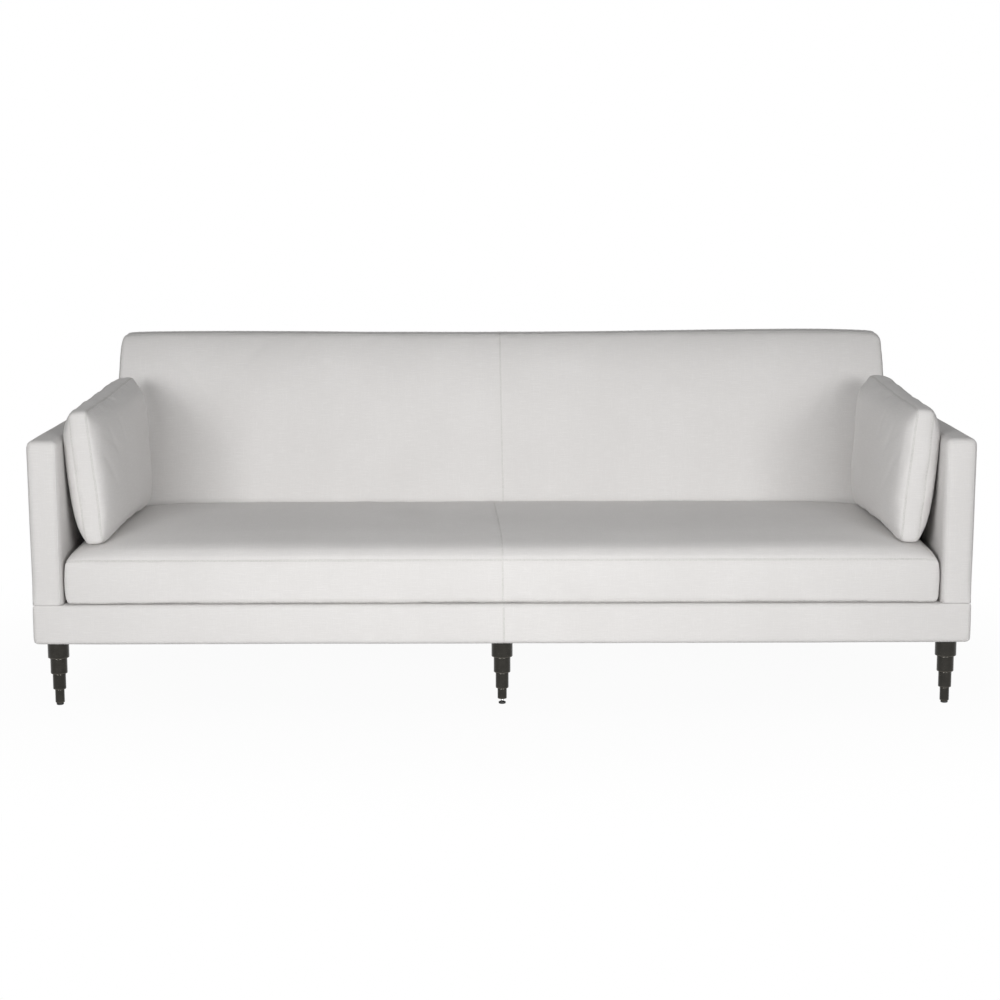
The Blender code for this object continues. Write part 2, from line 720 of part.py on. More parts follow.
# Soft forms
def cage(xs, ys, zs, drop=()):
    """A box with loops at the given places, without the end faces named by their directions."""
    bm = box_bmesh((xs[0], ys[0], zs[0]), (xs[-1], ys[-1], zs[-1]))
    for axis, places in enumerate((xs, ys, zs)):
        for place in places[1:-1]:
            co = Vector((0.0, 0.0, 0.0))
            co[axis] = place
            normal = Vector((0.0, 0.0, 0.0))
            normal[axis] = 1.0
            geometry = bm.verts[:] + bm.edges[:] + bm.faces[:]
            bmesh.ops.bisect_plane(bm, geom=geometry, plane_co=co, plane_no=normal)
    bm.normal_update()
    gone = [face for face in bm.faces if any(face.normal.dot(Vector(way)) > 0 for way in drop)]
    bmesh.ops.delete(bm, geom=gone, context="FACES")
    return bm


def crease(bm, chosen, amount):
    """Keeps some edges of a cage nearly sharp when it is subdivided, as a sewn edge stays."""
    layer = bm.edges.layers.float.new("crease_edge")
    for edge in bm.edges:
        if chosen(edge):
            edge[layer] = amount


def add_subdivision(obj):
    obj.data.shade_smooth()
    subdivision = obj.modifiers.new("soften", "SUBSURF")
    subdivision.levels = 1
    subdivision.render_levels = 1


def mirrored(shares):
    """Shares from 0 to 1 repeated below zero, in rising order."""
    return [-share for share in reversed(shares) if share] + list(shares)


def rise(share, fall):
    power, rounding = fall
    return max(0.0, 1.0 - abs(share) ** power) ** rounding


def shoulder_share(z):
    """How far the back has narrowed at height z, on its way past the tops of the arms."""
    start = ARM_HEIGHT - BACK_SHOULDER_RUN
    return min(1.0, max(0.0, (z - start) / (2 * BACK_SHOULDER_RUN)))


def back_crown(up):
    """How far the stuffing stands out of the flat front, at a share of the back's height."""
    return BACK_CROWN * rise(2 * up - 1, BACK_UP_fall)


def back_form(name, inset, look, open_shell):
    """The padded back: reclined and crowned in front, narrowing above the arms, upright behind."""
    top = BACK_HEIGHT - inset
    bottom = BASE_TOP + GAP + CLOTH * math.sin(BACK_RECLINE)
    top_half = BACK_TOP_HALF - inset
    low_half = ARM_INNER - BACK_SIDE_GAP - inset
    rounding = BACK_ROUND
    height = top - bottom
    across = [share * top_half for share in BACK_ACROSS_shares] + [top_half - rounding, top_half]
    xs = [-x for x in reversed(across) if x] + across
    ys = list(BACK_THROUGH_shares)
    zs = [bottom] + [bottom + share * height for share in BACK_UP_shares] + [top - rounding, top]
    drop = ((0, 1, 0), (0, 0, -1)) if open_shell else ()
    bm = cage(xs, ys, zs, drop)
    for vert in bm.verts:
        x, y_share, z = vert.co
        side = x / top_half
        up = (z - bottom) / height
        half = low_half + (top_half - low_half) * shoulder_share(z)
        near = front_line(z, inset / math.cos(BACK_RECLINE))
        far = rear_line(z, CLOTH + GAP)
        crown = back_crown(up) * rise(side, BACK_SIDE_fall)
        vert.co.x = side * half
        vert.co.y = near + (far - near) * y_share - crown * (1.0 - y_share)
        vert.co.z = z - BACK_TOP_SAG * up * rise(side, BACK_UP_fall)
    obj = add_object(name, mesh_from(bm, name), look)
    add_subdivision(obj)
    return obj


def inside_back_cover():
    obj = back_form("inside_back_cover", 0.0, off_white_cloth, True)
    add_thickness(obj, CLOTH, (0.0, REAR, ARM_HEIGHT))
    return obj


def back_pad():
    """Foam over the front, top and ends of the back's timber, which is cut out of it."""
    obj = back_form("back_pad", CLOTH + GAP, foam, False)
    top = BACK_TIMBER_TOP + GAP
    low = BASE_TOP - OVERRUN
    set_back = (CLOTH + GAP + BACK_PAD) / math.cos(BACK_RECLINE)
    outline = (
        (front_line(low, set_back), low),
        (REAR + OVERRUN, low),
        (REAR + OVERRUN, top),
        (front_line(top, set_back), top),
    )
    half = BACK_TIMBER_HALF + GAP
    room = plate("back_timber_room", outline, -half, half, look=None)
    cut(obj, room)
    return obj


def outside_back_cover():
    """The flat rear cloth of the back, raked with it, its upper corners rounded."""
    bottom = BASE_TOP + GAP
    top = BACK_HEIGHT - EDGE_ROUND
    low_half = ARM_INNER - BACK_SIDE_GAP
    top_half = BACK_TOP_HALF
    bm = bmesh.new()
    bmesh.ops.create_cube(bm, size=1.0)
    tall = (top - bottom) / math.cos(REAR_RAKE)
    bmesh.ops.scale(bm, vec=(1.0, CLOTH, tall), verts=bm.verts)
    for run in (-BACK_SHOULDER_RUN, BACK_SHOULDER_RUN):
        level = (ARM_HEIGHT + run - bottom) / math.cos(REAR_RAKE) - tall / 2
        geometry = bm.verts[:] + bm.edges[:] + bm.faces[:]
        bmesh.ops.bisect_plane(bm, geom=geometry, plane_co=(0, 0, level), plane_no=(0, 0, 1))
    for vert in bm.verts:
        z = bottom + (vert.co.z + tall / 2) * math.cos(REAR_RAKE)
        vert.co.x *= 2 * (low_half + (top_half - low_half) * shoulder_share(z))
    upper = [
        edge
        for edge in bm.edges
        if all(abs(vert.co.z - tall / 2) < GAP for vert in edge.verts)
        and abs(edge.verts[0].co.x - edge.verts[1].co.x) < GAP
    ]
    segments = 2 * EDGE_SEGMENTS
    bmesh.ops.bevel(
        bm, geom=upper, offset=BACK_ROUND, segments=segments, affect="EDGES", profile=ROUND
    )
    bmesh.ops.rotate(
        bm, cent=(0.0, 0.0, 0.0), matrix=Matrix.Rotation(REAR_RAKE, 3, "X"), verts=bm.verts
    )
    middle = (bottom + top) / 2
    bmesh.ops.translate(bm, vec=(0.0, rear_line(middle, CLOTH / 2), middle), verts=bm.verts)
    return add_object("outside_back_cover", mesh_from(bm, "outside_back_cover"), off_white_cloth)


def seat_cushion():
    """One long boxed cushion: flat below, crowned on top, its rear following the back."""
    half = ARM_INNER - SEAT_END_GAP - SEAT_BULGE
    bottom = BASE_TOP + GAP
    front = FRONT + SEAT_FRONT_SETBACK
    xs = [share * half for share in mirrored(CUSHION_END_shares)]
    bm = cage(xs, list(SEAT_DEPTH_shares), [0.0, SEAT_BOXING / 2, SEAT_BOXING])

    def sewn(edge):
        """The vertical corners and the rims of the top and bottom panels."""
        ends = [vert.co for vert in edge.verts]
        at_end = all(abs(abs(co.x) - half) < GAP for co in ends)
        at_side = all(abs(abs(co.y) - 1.0) < GAP for co in ends)
        at_rim = all(abs(co.z - SEAT_BOXING / 2) > GAP for co in ends)
        return (at_end and at_side) or (at_rim and (at_end or at_side))

    crease(bm, sewn, SEWN_EDGE_share)
    for vert in bm.verts:
        x, along, z = vert.co
        side = x / half
        crown = SEAT_CROWN * rise(side, SEAT_END_fall)
        fullness = rise(along, SEAT_FRONT_fall) if along < 0 else SEAT_REAR_share**along
        at_rear = SEAT_REAR_share * max(0.0, along) ** SEAT_REAR_power * z / SEAT_BOXING
        lift = crown * (fullness if z > SEAT_BOXING - GAP else at_rear)
        bulge = SEAT_BULGE if abs(z - SEAT_BOXING / 2) < GAP else 0.0
        level = bottom + z + lift
        up = (level - BASE_TOP) / BACK_RISE
        rear = front_line(level) - back_crown(up) - SEAT_BACK_GAP
        vert.co.y = front + (rear - front) * (along + 1.0) / 2
        if along < GAP - 1.0:
            vert.co.y -= bulge - SEAT_PULL * (1.0 - side * side)
        if abs(side) > 1.0 - GAP:
            vert.co.x = x + math.copysign(bulge - SEAT_PULL * (1.0 - along * along), side)
        vert.co.z = level
    obj = add_object("seat_cushion", mesh_from(bm, "seat_cushion"), off_white_cloth)
    add_subdivision(obj)
    return obj


def side_cushion(hand, side):
    """A boxed cushion that stands on the seat and leans on the arm."""
    name = f"side_cushion_{hand}"
    half_x = SIDE_BOXING / 2
    half_y = SIDE_LENGTH / 2
    half_z = SIDE_HEIGHT / 2
    bm = cage(
        [-half_x, 0.0, half_x],
        [share * half_y for share in SIDE_DEPTH_shares],
        [share * half_z for share in mirrored(SIDE_HEIGHT_shares)],
    )
    for vert in bm.verts:
        x, y, z = vert.co
        along = y / half_y
        up = z / half_z
        on_panel = abs(x) > half_x - GAP
        fall = SIDE_OUTER_fall if x * side > 0 and along < 0 else SIDE_INNER_fall
        crown = SIDE_CROWN * rise(along, fall) * rise(up, SIDE_UP_fall)
        bulge = 0.0 if on_panel else SIDE_BULGE
        if on_panel:
            vert.co.x = math.copysign(half_x + crown, x)
        if abs(along) > 1.0 - GAP:
            vert.co.y = math.copysign(half_y + bulge - SIDE_PULL * (1.0 - up * up), y)
        if abs(up) > 1.0 - GAP:
            vert.co.z = math.copysign(half_z + bulge - SIDE_PULL * (1.0 - along * along), z)
    obj = add_object(name, mesh_from(bm, name), off_white_cloth)
    add_subdivision(obj)
    lean = Matrix.Rotation(side * SIDE_LEAN, 4, "Y")
    toe = Matrix.Rotation(side * SIDE_TOE, 4, "Z")
    turn = toe @ lean @ Matrix.Rotation(SIDE_PITCH, 4, "X")
    above = BASE_TOP + SEAT_BOXING + SEAT_CROWN + SIDE_HEIGHT
    away = ARM_INNER - SIDE_BOXING - 2 * SIDE_CROWN
    start = Vector((side * away, FRONT + SIDE_LENGTH / 2, above))
    obj.matrix_world = Matrix.Translation(start) @ turn
    return obj


def sample_points(obj):
    """World points over an object's evaluated faces: corners, edge middles and face middles."""
    bpy.context.view_layer.update()
    evaluated = obj.evaluated_get(bpy.context.evaluated_depsgraph_get())
    mesh = evaluated.to_mesh()
    world = obj.matrix_world
    corners = [world @ vert.co for vert in mesh.vertices]
    middles = [(corners[edge.vertices[0]] + corners[edge.vertices[1]]) / 2 for edge in mesh.edges]
    centres = [world @ polygon.center for polygon in mesh.polygons]
    faces = [tuple(polygon.vertices) for polygon in mesh.polygons]
    evaluated.to_mesh_clear()
    return corners, faces, corners + middles + centres


def settle(obj, direction, support, clearance=SOFT_GAP):
    """Moves an object along a direction until it lies one clearance from its support."""
    direction = Vector(direction).normalized()
    corners, faces, points = sample_points(obj)
    own_tree = BVHTree.FromPolygons(corners, faces)
    other_corners, other_faces, other_points = sample_points(support)
    other_tree = BVHTree.FromPolygons(other_corners, other_faces)
    hits = [other_tree.ray_cast(point, direction)[3] for point in points]
    hits += [own_tree.ray_cast(point, -direction)[3] for point in other_points]
    least = min(distance for distance in hits if distance is not None)
    obj.matrix_world = Matrix.Translation(direction * (least - clearance)) @ obj.matrix_world


# Legs
def leg_profile(foot):
    """Stepped outline from the stud's tip down to the foot's height, then up the glide's bore."""
    stud = STUD_DIAMETER / 2
    top = LEG_HEIGHT - GAP
    tip = top + STUD_LENGTH - OVERRUN / 2
    points = [(0.0, tip), (stud - LEG_EASE, tip), (stud, tip - LEG_EASE), (stud, top)]
    z = top
    lowest_step = top - sum(LEG_UPPER_STEP_HEIGHTS) - foot
    for diameter, height in zip(LEG_STEP_DIAMETERS, (*LEG_UPPER_STEP_HEIGHTS, lowest_step)):
        radius = diameter / 2
        points.append((radius, z))
        z -= height
        points += [(radius, z + LEG_EASE), (radius - LEG_EASE, z)]
    bore = GLIDE_BORE / 2
    points += [(bore, z), (bore, z + GLIDE_BORE_DEPTH), (0.0, z + GLIDE_BORE_DEPTH)]
    return points


def glide_pad_profile():
    """A round foot whose top has a shallow socket for the stem."""
    radius = GLIDE_PAD_DIAMETER / 2
    socket = GLIDE_SOCKET / 2
    top = GLIDE_PAD_HEIGHT
    low = top - GLIDE_SOCKET_DEPTH
    ease = GLIDE_PAD_ROUND
    return (
        (0.0, low),
        (socket, low),
        (socket, top),
        (radius - ease, top),
        (radius, top - ease),
        (radius, ease),
        (radius - ease, 0.0),
        (0.0, 0.0),
    )


def glide_stem_profile():
    """A threaded stem, plain here, with a neck that turns in the foot's socket."""
    neck = GLIDE_STEM_NECK / 2
    stem = GLIDE_STEM_DIAMETER / 2
    foot = GLIDE_PAD_HEIGHT - GLIDE_SOCKET_DEPTH + GAP
    shoulder = GLIDE_PAD_HEIGHT + LEG_EASE
    top = foot + GLIDE_STEM_LENGTH
    return (
        (0.0, top),
        (stem - LEG_EASE, top),
        (stem, top - LEG_EASE),
        (stem, shoulder + LEG_EASE),
        (neck, shoulder),
        (neck, foot),
        (0.0, foot),
    )


def legs():
    for name, x, y in leg_places():
        foot = GLIDE_PAD_HEIGHT + GAP + (CENTRE_LEG_SHORTER if x == 0.0 else 0.0)
        place = (x, y, 0.0)
        turned(f"leg_{name}", leg_profile(foot), dark_bronze, ROUND_SIDES, place)
        pad = turned(f"glide_pad_{name}", glide_pad_profile(), black_nylon, ROUND_SIDES, place)
        stem = turned(f"glide_stem_{name}", glide_stem_profile(), bright_steel, SMALL_SIDES)
        stem.parent = pad


def arms_and_bands():
    pad_inset = CLOTH + GAP
    for side, hand in ((-1, "left"), (1, "right")):
        arm_wrap(f"arm_cover_{hand}", side, 0.0, CLOTH, HEM, off_white_cloth)
        arm_wrap(f"arm_pad_{hand}", side, pad_inset, ARM_PAD, 0.0, foam)
    band_cover("front_band_cover", -1)
    band_cover("rear_band_cover", 1)


def main():
    arms_and_bands()
    deck_front = FRONT + LIP + GAP
    deck_sheet("deck_cover", BASE_TOP - CLOTH, BASE_TOP, deck_front, off_white_cloth)
    pad_front = FRONT + RAIL_SETBACK
    deck_sheet("deck_pad", DECK_PAD_BOTTOM, DECK_PAD_BOTTOM + DECK_PAD, pad_front, foam)
    dust_cover()
    base_frame()
    arm_frames()
    back_frame()
    seat_webbing()
    back_webbing()
    cover = inside_back_cover()
    back_pad()
    outside_back_cover()
    seat = seat_cushion()
    for side, hand in ((-1, "left"), (1, "right")):
        cushion = side_cushion(hand, side)
        settle(cushion, (0, 0, -1), seat)
        settle(cushion, (side, 0, 0), bpy.data.objects[f"arm_cover_{hand}"])
        settle(cushion, (0, 1, 0), cover, SIDE_BACK_GAP)
        settle(cushion, (0, 0, -1), seat)
    legs()


main()
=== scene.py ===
"""The looks of a long upholstered sofa: off-white cloth on dark stepped metal legs.

Metres, +Z up. The sofa faces -Y and stands on z = 0, with +X to the right of someone who
looks at its front. Every size below is the sofa's own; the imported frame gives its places.
"""

import math

import bmesh
import bpy
from mathutils import Matrix, Vector, noise
from mathutils.bvhtree import BVHTree
from mathutils.kdtree import KDTree


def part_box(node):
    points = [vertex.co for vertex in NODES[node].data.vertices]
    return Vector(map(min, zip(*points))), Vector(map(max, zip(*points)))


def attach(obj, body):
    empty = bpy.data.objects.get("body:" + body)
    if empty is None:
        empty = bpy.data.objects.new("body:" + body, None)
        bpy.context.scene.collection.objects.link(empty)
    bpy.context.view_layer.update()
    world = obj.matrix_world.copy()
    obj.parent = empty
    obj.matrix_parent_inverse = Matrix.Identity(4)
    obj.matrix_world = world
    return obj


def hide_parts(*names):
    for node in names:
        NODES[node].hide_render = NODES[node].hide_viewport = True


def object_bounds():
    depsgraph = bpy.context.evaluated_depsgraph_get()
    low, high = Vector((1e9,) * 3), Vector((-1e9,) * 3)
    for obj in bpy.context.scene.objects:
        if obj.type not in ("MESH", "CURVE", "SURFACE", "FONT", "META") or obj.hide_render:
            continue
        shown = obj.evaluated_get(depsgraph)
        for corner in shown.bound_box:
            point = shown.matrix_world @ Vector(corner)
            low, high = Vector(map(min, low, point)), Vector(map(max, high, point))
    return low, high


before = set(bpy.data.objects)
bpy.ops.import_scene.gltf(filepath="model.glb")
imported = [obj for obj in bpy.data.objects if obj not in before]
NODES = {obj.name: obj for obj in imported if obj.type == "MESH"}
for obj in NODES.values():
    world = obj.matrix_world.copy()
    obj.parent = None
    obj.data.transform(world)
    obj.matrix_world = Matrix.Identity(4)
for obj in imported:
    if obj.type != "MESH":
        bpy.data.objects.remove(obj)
CAD_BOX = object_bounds()
HANDS = (("left", -1), ("right", 1))
BACKWARDS = (0.0, 1.0, 0.0)
DOWN = (0.0, 0.0, -1.0)

# Places on the frame
FRONT = CAD_BOX[0][1]
REAR = CAD_BOX[1][1]
HALF_WIDTH = CAD_BOX[1][0]
BASE_BOTTOM = 0.163
BASE_TOP = 0.261
ARM_HEIGHT = 0.667
ARM_INNER = 1.076
CLOTH = 0.002
SKIN = 0.0003

# Back. BACK_TOP_FALL pairs a height with how far the front has fallen away there. BACK_TUCK is
# the height at which the back is drawn in, over how much height, and how deep.
SEAT_DEPTH = 0.589
BACK_HEIGHT = 0.870
BACK_TOP_HALF = 1.054
BACK_TOP_DEPTH = 0.109
REAR_RAKE = math.radians(2.0)
REAR_FOOT = REAR - 0.0106
BACK_SIDE_GAP = 0.002
BACK_CROWN = 0.020
BACK_ROUND = 0.020
BACK_TOP_SAG = 0.005
BACK_UNDER = 0.030
OUTSIDE_BACK_DROP = 0.0025
BACK_TOP_FALL = ((0.70, 0.0), (0.80, 0.009), (0.85, 0.026), (0.87, 0.040))
BACK_CORNER = 0.005
BACK_TUCK = (0.402, 0.016, 0.017)
BACK_ACROSS = (0.0, 0.25, 0.50, 0.78)
BACK_THROUGH = (0.0, 0.10, 0.55, 1.0)
BACK_UPS = (0.0, 0.12, 0.45, 0.78)
BACK_TOP_LOOP = 0.800
BACK_FIRM = 0.020
BACK_CREASE = 0.30
REAR_EDGE_UPS = (0.27, 0.40, 0.55, 0.60, 0.63, 0.667, 0.70, 0.73, 0.80, 0.84, 0.855)
REAR_EDGE_CORNER = (0.007, 0.864)
REAR_EDGE_TOP = 0.868
SHOULDER_RUN = 0.060
BACK_RISE = BACK_HEIGHT - BASE_TOP
BACK_TOP_FRONT = REAR_FOOT - BACK_RISE * math.tan(REAR_RAKE) - BACK_TOP_DEPTH
RECLINE_SLOPE = (BACK_TOP_FRONT - FRONT - SEAT_DEPTH) / BACK_RISE

# Seat cushion. SEAT_FORWARD_FALL is how much the crown falls towards the front: at the ends,
# and how much more at the middle.
SEAT_HALF = ARM_INNER - 0.008
SEAT_FRONT = FRONT + 0.006
SEAT_BOTTOM = BASE_TOP + SKIN
SEAT_BOXING = 0.111
SEAT_CROWN = 0.056
SEAT_END_FALL = (36, 0.5)
SEAT_FRONT_FALL = (8, 0.55)
SEAT_FORWARD_FALL = (0.15, 0.17)
SEAT_REAR_FULL = 0.95
SEAT_BULGE = 0.007
SEAT_PULL = 0.004
SEAT_BACK_GAP = 0.003
SEAT_CORNER_CREASE = 0.9
BOXING_CREASE = 0.55
SEAT_ACROSS = (-1.0, -0.978, -0.80, -0.42, 0.0, 0.42, 0.80, 0.978, 1.0)
SEAT_ALONG = (-1.0, -0.93, -0.80, -0.50, 0.0, 0.50, 0.92, 1.0)

# Side cushions. SIDE_CORNERS is what their corners are cut by: below and above, front and rear.
SIDE_LENGTH = 0.590
SIDE_HEIGHT = 0.350
SIDE_BOXING = 0.044
SIDE_CROWN = 0.041
SIDE_BULGE = 0.004
SIDE_PULL = 0.012
SIDE_TOP_PULL = 0.005
SIDE_TOP_SLOPE = 0.012
SIDE_TOP_FULL = 0.40
SIDE_OUTER_FULL = 1.12
SIDE_OUTWARDS = 0.003
SIDE_ALONG = (-1.0, -0.92, -0.50, 0.0, 0.40, 0.82, 1.0)
SIDE_UPS = (-1.0, -0.80, -0.40, 0.0, 0.40, 0.80, 1.0)
SIDE_CORNERS = ((0.010, 0.004), (0.004, 0.009))
SIDE_LEAN = math.radians(5.4)
SIDE_TOE = math.radians(2.6)
SIDE_PITCH = math.radians(1.4)

# Arms and base. ARM_SEAM_TURN rounds the seams' upper corners: how far in, how far down. The
# band's seam turns in over its edges: how far in, how far from the edge. BAND_TIGHTEN is where
# its upper edge grows tight beside the arm.
EDGE_ROUND = 0.011
ARM_ROUND = 0.017
ARM_SPLAY = 0.004
BAND_TIGHT_ROUND = 0.0008
HEM = 0.030
ARM_STEP = 0.018
BAND_STEP = 0.018
ARM_PILLOW = 0.0014
ARM_SEAM_TURN = ((0.0, 0.010), (0.004, 0.002), (0.012, 0.0))
BAND_PILLOW = 0.0008
PANEL_RIPPLE = 0.0006
ARM_RIPPLE_WAVE = 0.17
ARM_CALM_RUN = 0.05
ARM_TIGHT_RUN = 0.06
BAND_RIPPLE_WAVE = 0.13
BAND_CALM = 0.8
BAND_TIGHTEN = (0.004, 0.008)
BAND_SEAM_TOP = ((0.006, 0.002), (0.0, 0.012))
BAND_SEAM_FOOT = ((0.0, 0.012), (0.006, 0.001))
SEAM_FOOT = 0.004

# Deck, outside back and dust cover
DECK_SAG = 0.002
DECK_STEP = 0.045
FOAM_ROUND = 0.003
DECK_CLOTH_ROUND = 0.0009
DECK_SEAM_END = 0.006
OUTSIDE_BACK_GRID = (96, 40)
OUTSIDE_BACK_FULL = 0.0025
OUTSIDE_BACK_SLACK = 0.0009
OUTSIDE_BACK_WAVE = 0.2
CAMBRIC_GRID = (100, 36)
CAMBRIC_WALL = 0.0005
CAMBRIC_SLACK = 0.0016
CAMBRIC_FOLDS = 0.0007
CAMBRIC_WAVE = 0.09
STAPLE_SIZE = (0.0105, 0.0012, 0.0006)
STAPLE_INSET = 0.008
STAPLE_SLANT = 0.06
STAPLE_EDGE = 0.0002
STAPLES_ALONG = 36
STAPLES_ACROSS = 13

# Legs and glides. The outlines pair a radius with a height: of the stud above the leg, of the
# bore above the leg's foot, of the glide's foot below its own top and then above the floor, of
# the stem's tip below its top and of its cone above its shoulder.
LEG_DIAMETERS = (0.0525, 0.0415, 0.0322, 0.0230)
LEG_UPPER_HEIGHTS = (0.042, 0.040, 0.040)
LEG_CHAMFER = 0.0012
LEG_TOP_CUT = 0.0004
LEG_BULGE = 0.3
LEG_WEAR_REACH = 2.4
LEG_EDGE_LOOPS = (0.004, 0.005)
STUD = ((0.0, 0.040), (0.003, 0.040), (0.004, 0.039), (0.004, 0.0))
BORE = ((0.0044, 0.0), (0.0044, 0.045), (0.0, 0.045))
CENTRE_LEG_SHORTER = 0.007
GLIDE_PAD_HEIGHT = 0.006
GLIDE_PAD_UPPER = (
    (0.0, 0.0025), (0.00325, 0.0025), (0.00325, 0.0002), (0.0036, 0.0), (0.0062, 0.0),
    (0.0068, 0.0004), (0.0083, 0.0009), (0.0088, 0.0016), (0.0090, 0.0024),
)
GLIDE_PAD_LOWER = ((0.0090, 0.0020), (0.0087, 0.0010), (0.0078, 0.0003), (0.0066, 0.0), (0.0, 0.0))
GLIDE_SOCKET = 0.0022
LEG_SIDES = 72
GLIDE_PAD_SIDES = 48
STEM_SIDES = 30
STEM_LENGTH = 0.030
STEM_SHOULDER = 0.0010
STEM_TIP = ((0.0, 0.0), (0.0028, 0.0), (0.0034, 0.0007))
STEM_CONE = ((0.0039, 0.0032), (0.0039, 0.0024), (0.0028, 0.0002), (0.00275, 0.0))
STEM_NECK = 0.00275
THREAD_START = 0.001
THREAD_PITCH = 0.00125
THREAD_ROWS = 5
THREAD_RADIUS = 0.0040
THREAD_DEPTH = 0.00062
THREAD_MIDDLE = 0.0037

# How the padding is blown up: grid sizes, the simulation, how far the cloth may go, its folds
BACK_WEAVE_STEP = 0.012
SEAT_WEAVE_STEP = 0.012
SIDE_WEAVE_STEP = 0.007
CLOTH_FRAMES = 20
CLOTH_QUALITY = 5
CLOTH_MASS = 0.3
CLOTH_PRESSURE = 4.0
LONG_SWELL = 0.026
SIDE_SWELL = 0.022
EVENING_ROUNDS = 10
SEAM_HOLD = 0.022
DRAWN_IN = 0.006
PROUD = 0.0012
SLUMP = 0.0020
SOFT_STOP = 0.0012
SLACK = 0.0008
HELD_STEP = 0.006
GATHER_DEPTH = 0.0022
GATHER_REACH = 0.012
PUCKER = 0.0009
FOLDING = 0.0010
PUCKER_WAVE = 0.022
FOLD_WAVE = 0.055
SLACK_WAVE = 0.16

# Seams
SEAM_STEP = 0.008
SEAM_ROUNDS = 3
SEAM_PUCKER = 0.18
SEAM_GATHER = 0.019
JOIN_SEAM = 0.6
FRAME_SEAM = 0.7
BOXING_SEAM = 0.8
REAR_SEAM = 1.3

# Places in the cloth, as the photograph shows them. A drag starts at a place across and up its
# panel, and has an angle, a length and a depth.
SEAT_CENTRE_SEAM = ((0.002, -0.43), (0.001, -0.40), (-0.008, -0.20), (-0.016, 0.00), (-0.020, 0.12))
SEAT_FACE_SEAM = (0.004, 0.05, 0.10, 0.13)
BACK_SEAM_OVER = (0.325, 0.36, 0.40)
BACK_CENTRE_SEAM = ((0.0065, 0.30), (0.004, 0.45), (-0.001, 0.70), (-0.0036, 0.85))
BAND_CENTRE_SEAM = 0.0042
BACK_WAVE_FROM = 0.70
BACK_WAVE_RUN = 0.15
BACK_TOP_WAVE = (
    (-1.05, -0.0005), (-0.90, 0.0030), (-0.60, 0.0020), (-0.30, 0.0000), (0.00, -0.0010),
    (0.30, 0.0005), (0.60, 0.0040), (0.85, 0.0062), (0.98, 0.0030), (1.05, -0.0020),
)
BACK_DRAGS = (
    ((-0.98, 0.845), -1.05, 0.30, -0.0022),
    ((-0.93, 0.850), -0.85, 0.34, -0.0020),
    ((-1.00, 0.800), -1.25, 0.24, -0.0018),
    ((-0.76, 0.862), -2.20, 0.10, -0.0016),
    ((-0.64, 0.862), -2.30, 0.12, -0.0018),
    ((-0.52, 0.862), -2.20, 0.09, -0.0014),
    ((-0.36, 0.862), -2.30, 0.10, -0.0012),
    ((0.97, 0.845), -2.05, 0.26, -0.0018),
    ((0.72, 0.862), -0.95, 0.10, -0.0014),
)
SIDE_DRAGS = (
    ((-0.400, 0.690), -0.45, 0.19, -0.0017),
    ((-0.405, 0.650), -0.85, 0.18, -0.0020),
    ((-0.340, 0.705), -0.95, 0.13, -0.0015),
    ((-0.230, 0.715), -1.20, 0.10, -0.0012),
    ((0.100, 0.715), -2.20, 0.14, -0.0014),
)
DRAG_WIDTH = 0.012

# Cross-section of a plain sewn seam: two lips with the stitched line sunk between them
SEAM_SECTION = (
    (-0.0048, -0.0012), (-0.0028, 0.0005), (-0.0014, 0.0010), (0.0000, -0.0004),
    (0.0014, 0.0010), (0.0028, 0.0005), (0.0048, -0.0012), (0.0000, -0.0026),
)

# Pitch of the weave and of the pressed dots, and how tight the ribs of the webbing are
CLOTH_THREADS = 0.0011
CAMBRIC_DOTS = 0.0016
WEB_RIBS = 1500.0

# Studio
BOX_SIDE = 2.2
BOX_FRONT = -5.2
BOX_HEIGHT = 1.55
BOX_SIZE = (2.4, 1.3)
BOX_SPREAD = math.radians(66.0)
BOX_AIM = 0.35
BOX_AIM_HEIGHT = 0.5
BOX_POWERS = (22.2, 17.6)  # left, right
AMBIENT = 0.21
WHITE = (1.0, 1.0, 1.0)
FLOOR_SIZE = 14.0
FLOOR_PAINT = (0.85, 0.85, 0.85)
# A painted shadow pool on the floor: the share of plain white at its middle, its half-widths, and
# where it starts to fade out.
WHITE_IN_PAINTED_SHADOW = 0.955
PAINTED_SHADOW_POOL = (2.4, 1.5)
PAINTED_SHADOW_START = 0.3

# Camera, fitted to the photograph
LENS = 77.364
SENSOR = 36.0
CAMERA_PLACE = (-0.0041, FRONT - 5.158, 1.306)
CAMERA_DOWN = math.radians(8.66)
CAMERA_ROLL = math.radians(-0.151)


# Shaders
class Wire:
    """A shader socket that plain sums can be written with."""

    def __init__(self, nodes, socket):
        self.nodes = nodes
        self.socket = socket

    def maths(self, operation, *values):
        inputs = dict(enumerate((self, *values)))
        return self.nodes.node("ShaderNodeMath", {"operation": operation}, inputs)

    def flipped(self, operation, value):
        return self.nodes.node("ShaderNodeMath", {"operation": operation}, {0: value, 1: self})

    def __add__(self, other):
        return self.maths("ADD", other)

    def __sub__(self, other):
        return self.maths("SUBTRACT", other)

    def __mul__(self, other):
        return self.maths("MULTIPLY", other)

    def __radd__(self, other):
        return self.flipped("ADD", other)

    def __rsub__(self, other):
        return self.flipped("SUBTRACT", other)

    def __rmul__(self, other):
        return self.flipped("MULTIPLY", other)

    def sine(self):
        return self.maths("SINE")

    def size(self):
        return self.maths("ABSOLUTE")

    def over(self, edge):
        return self.maths("GREATER_THAN", edge)

    def ramp(self, low, high, to_low=0.0, to_high=1.0):
        """The value from low to high, eased into the range from to_low to to_high."""
        settings = {"interpolation_type": "SMOOTHSTEP"}
        inputs = {0: self, 1: low, 2: high, 3: to_low, 4: to_high}
        return self.nodes.node("ShaderNodeMapRange", settings, inputs)


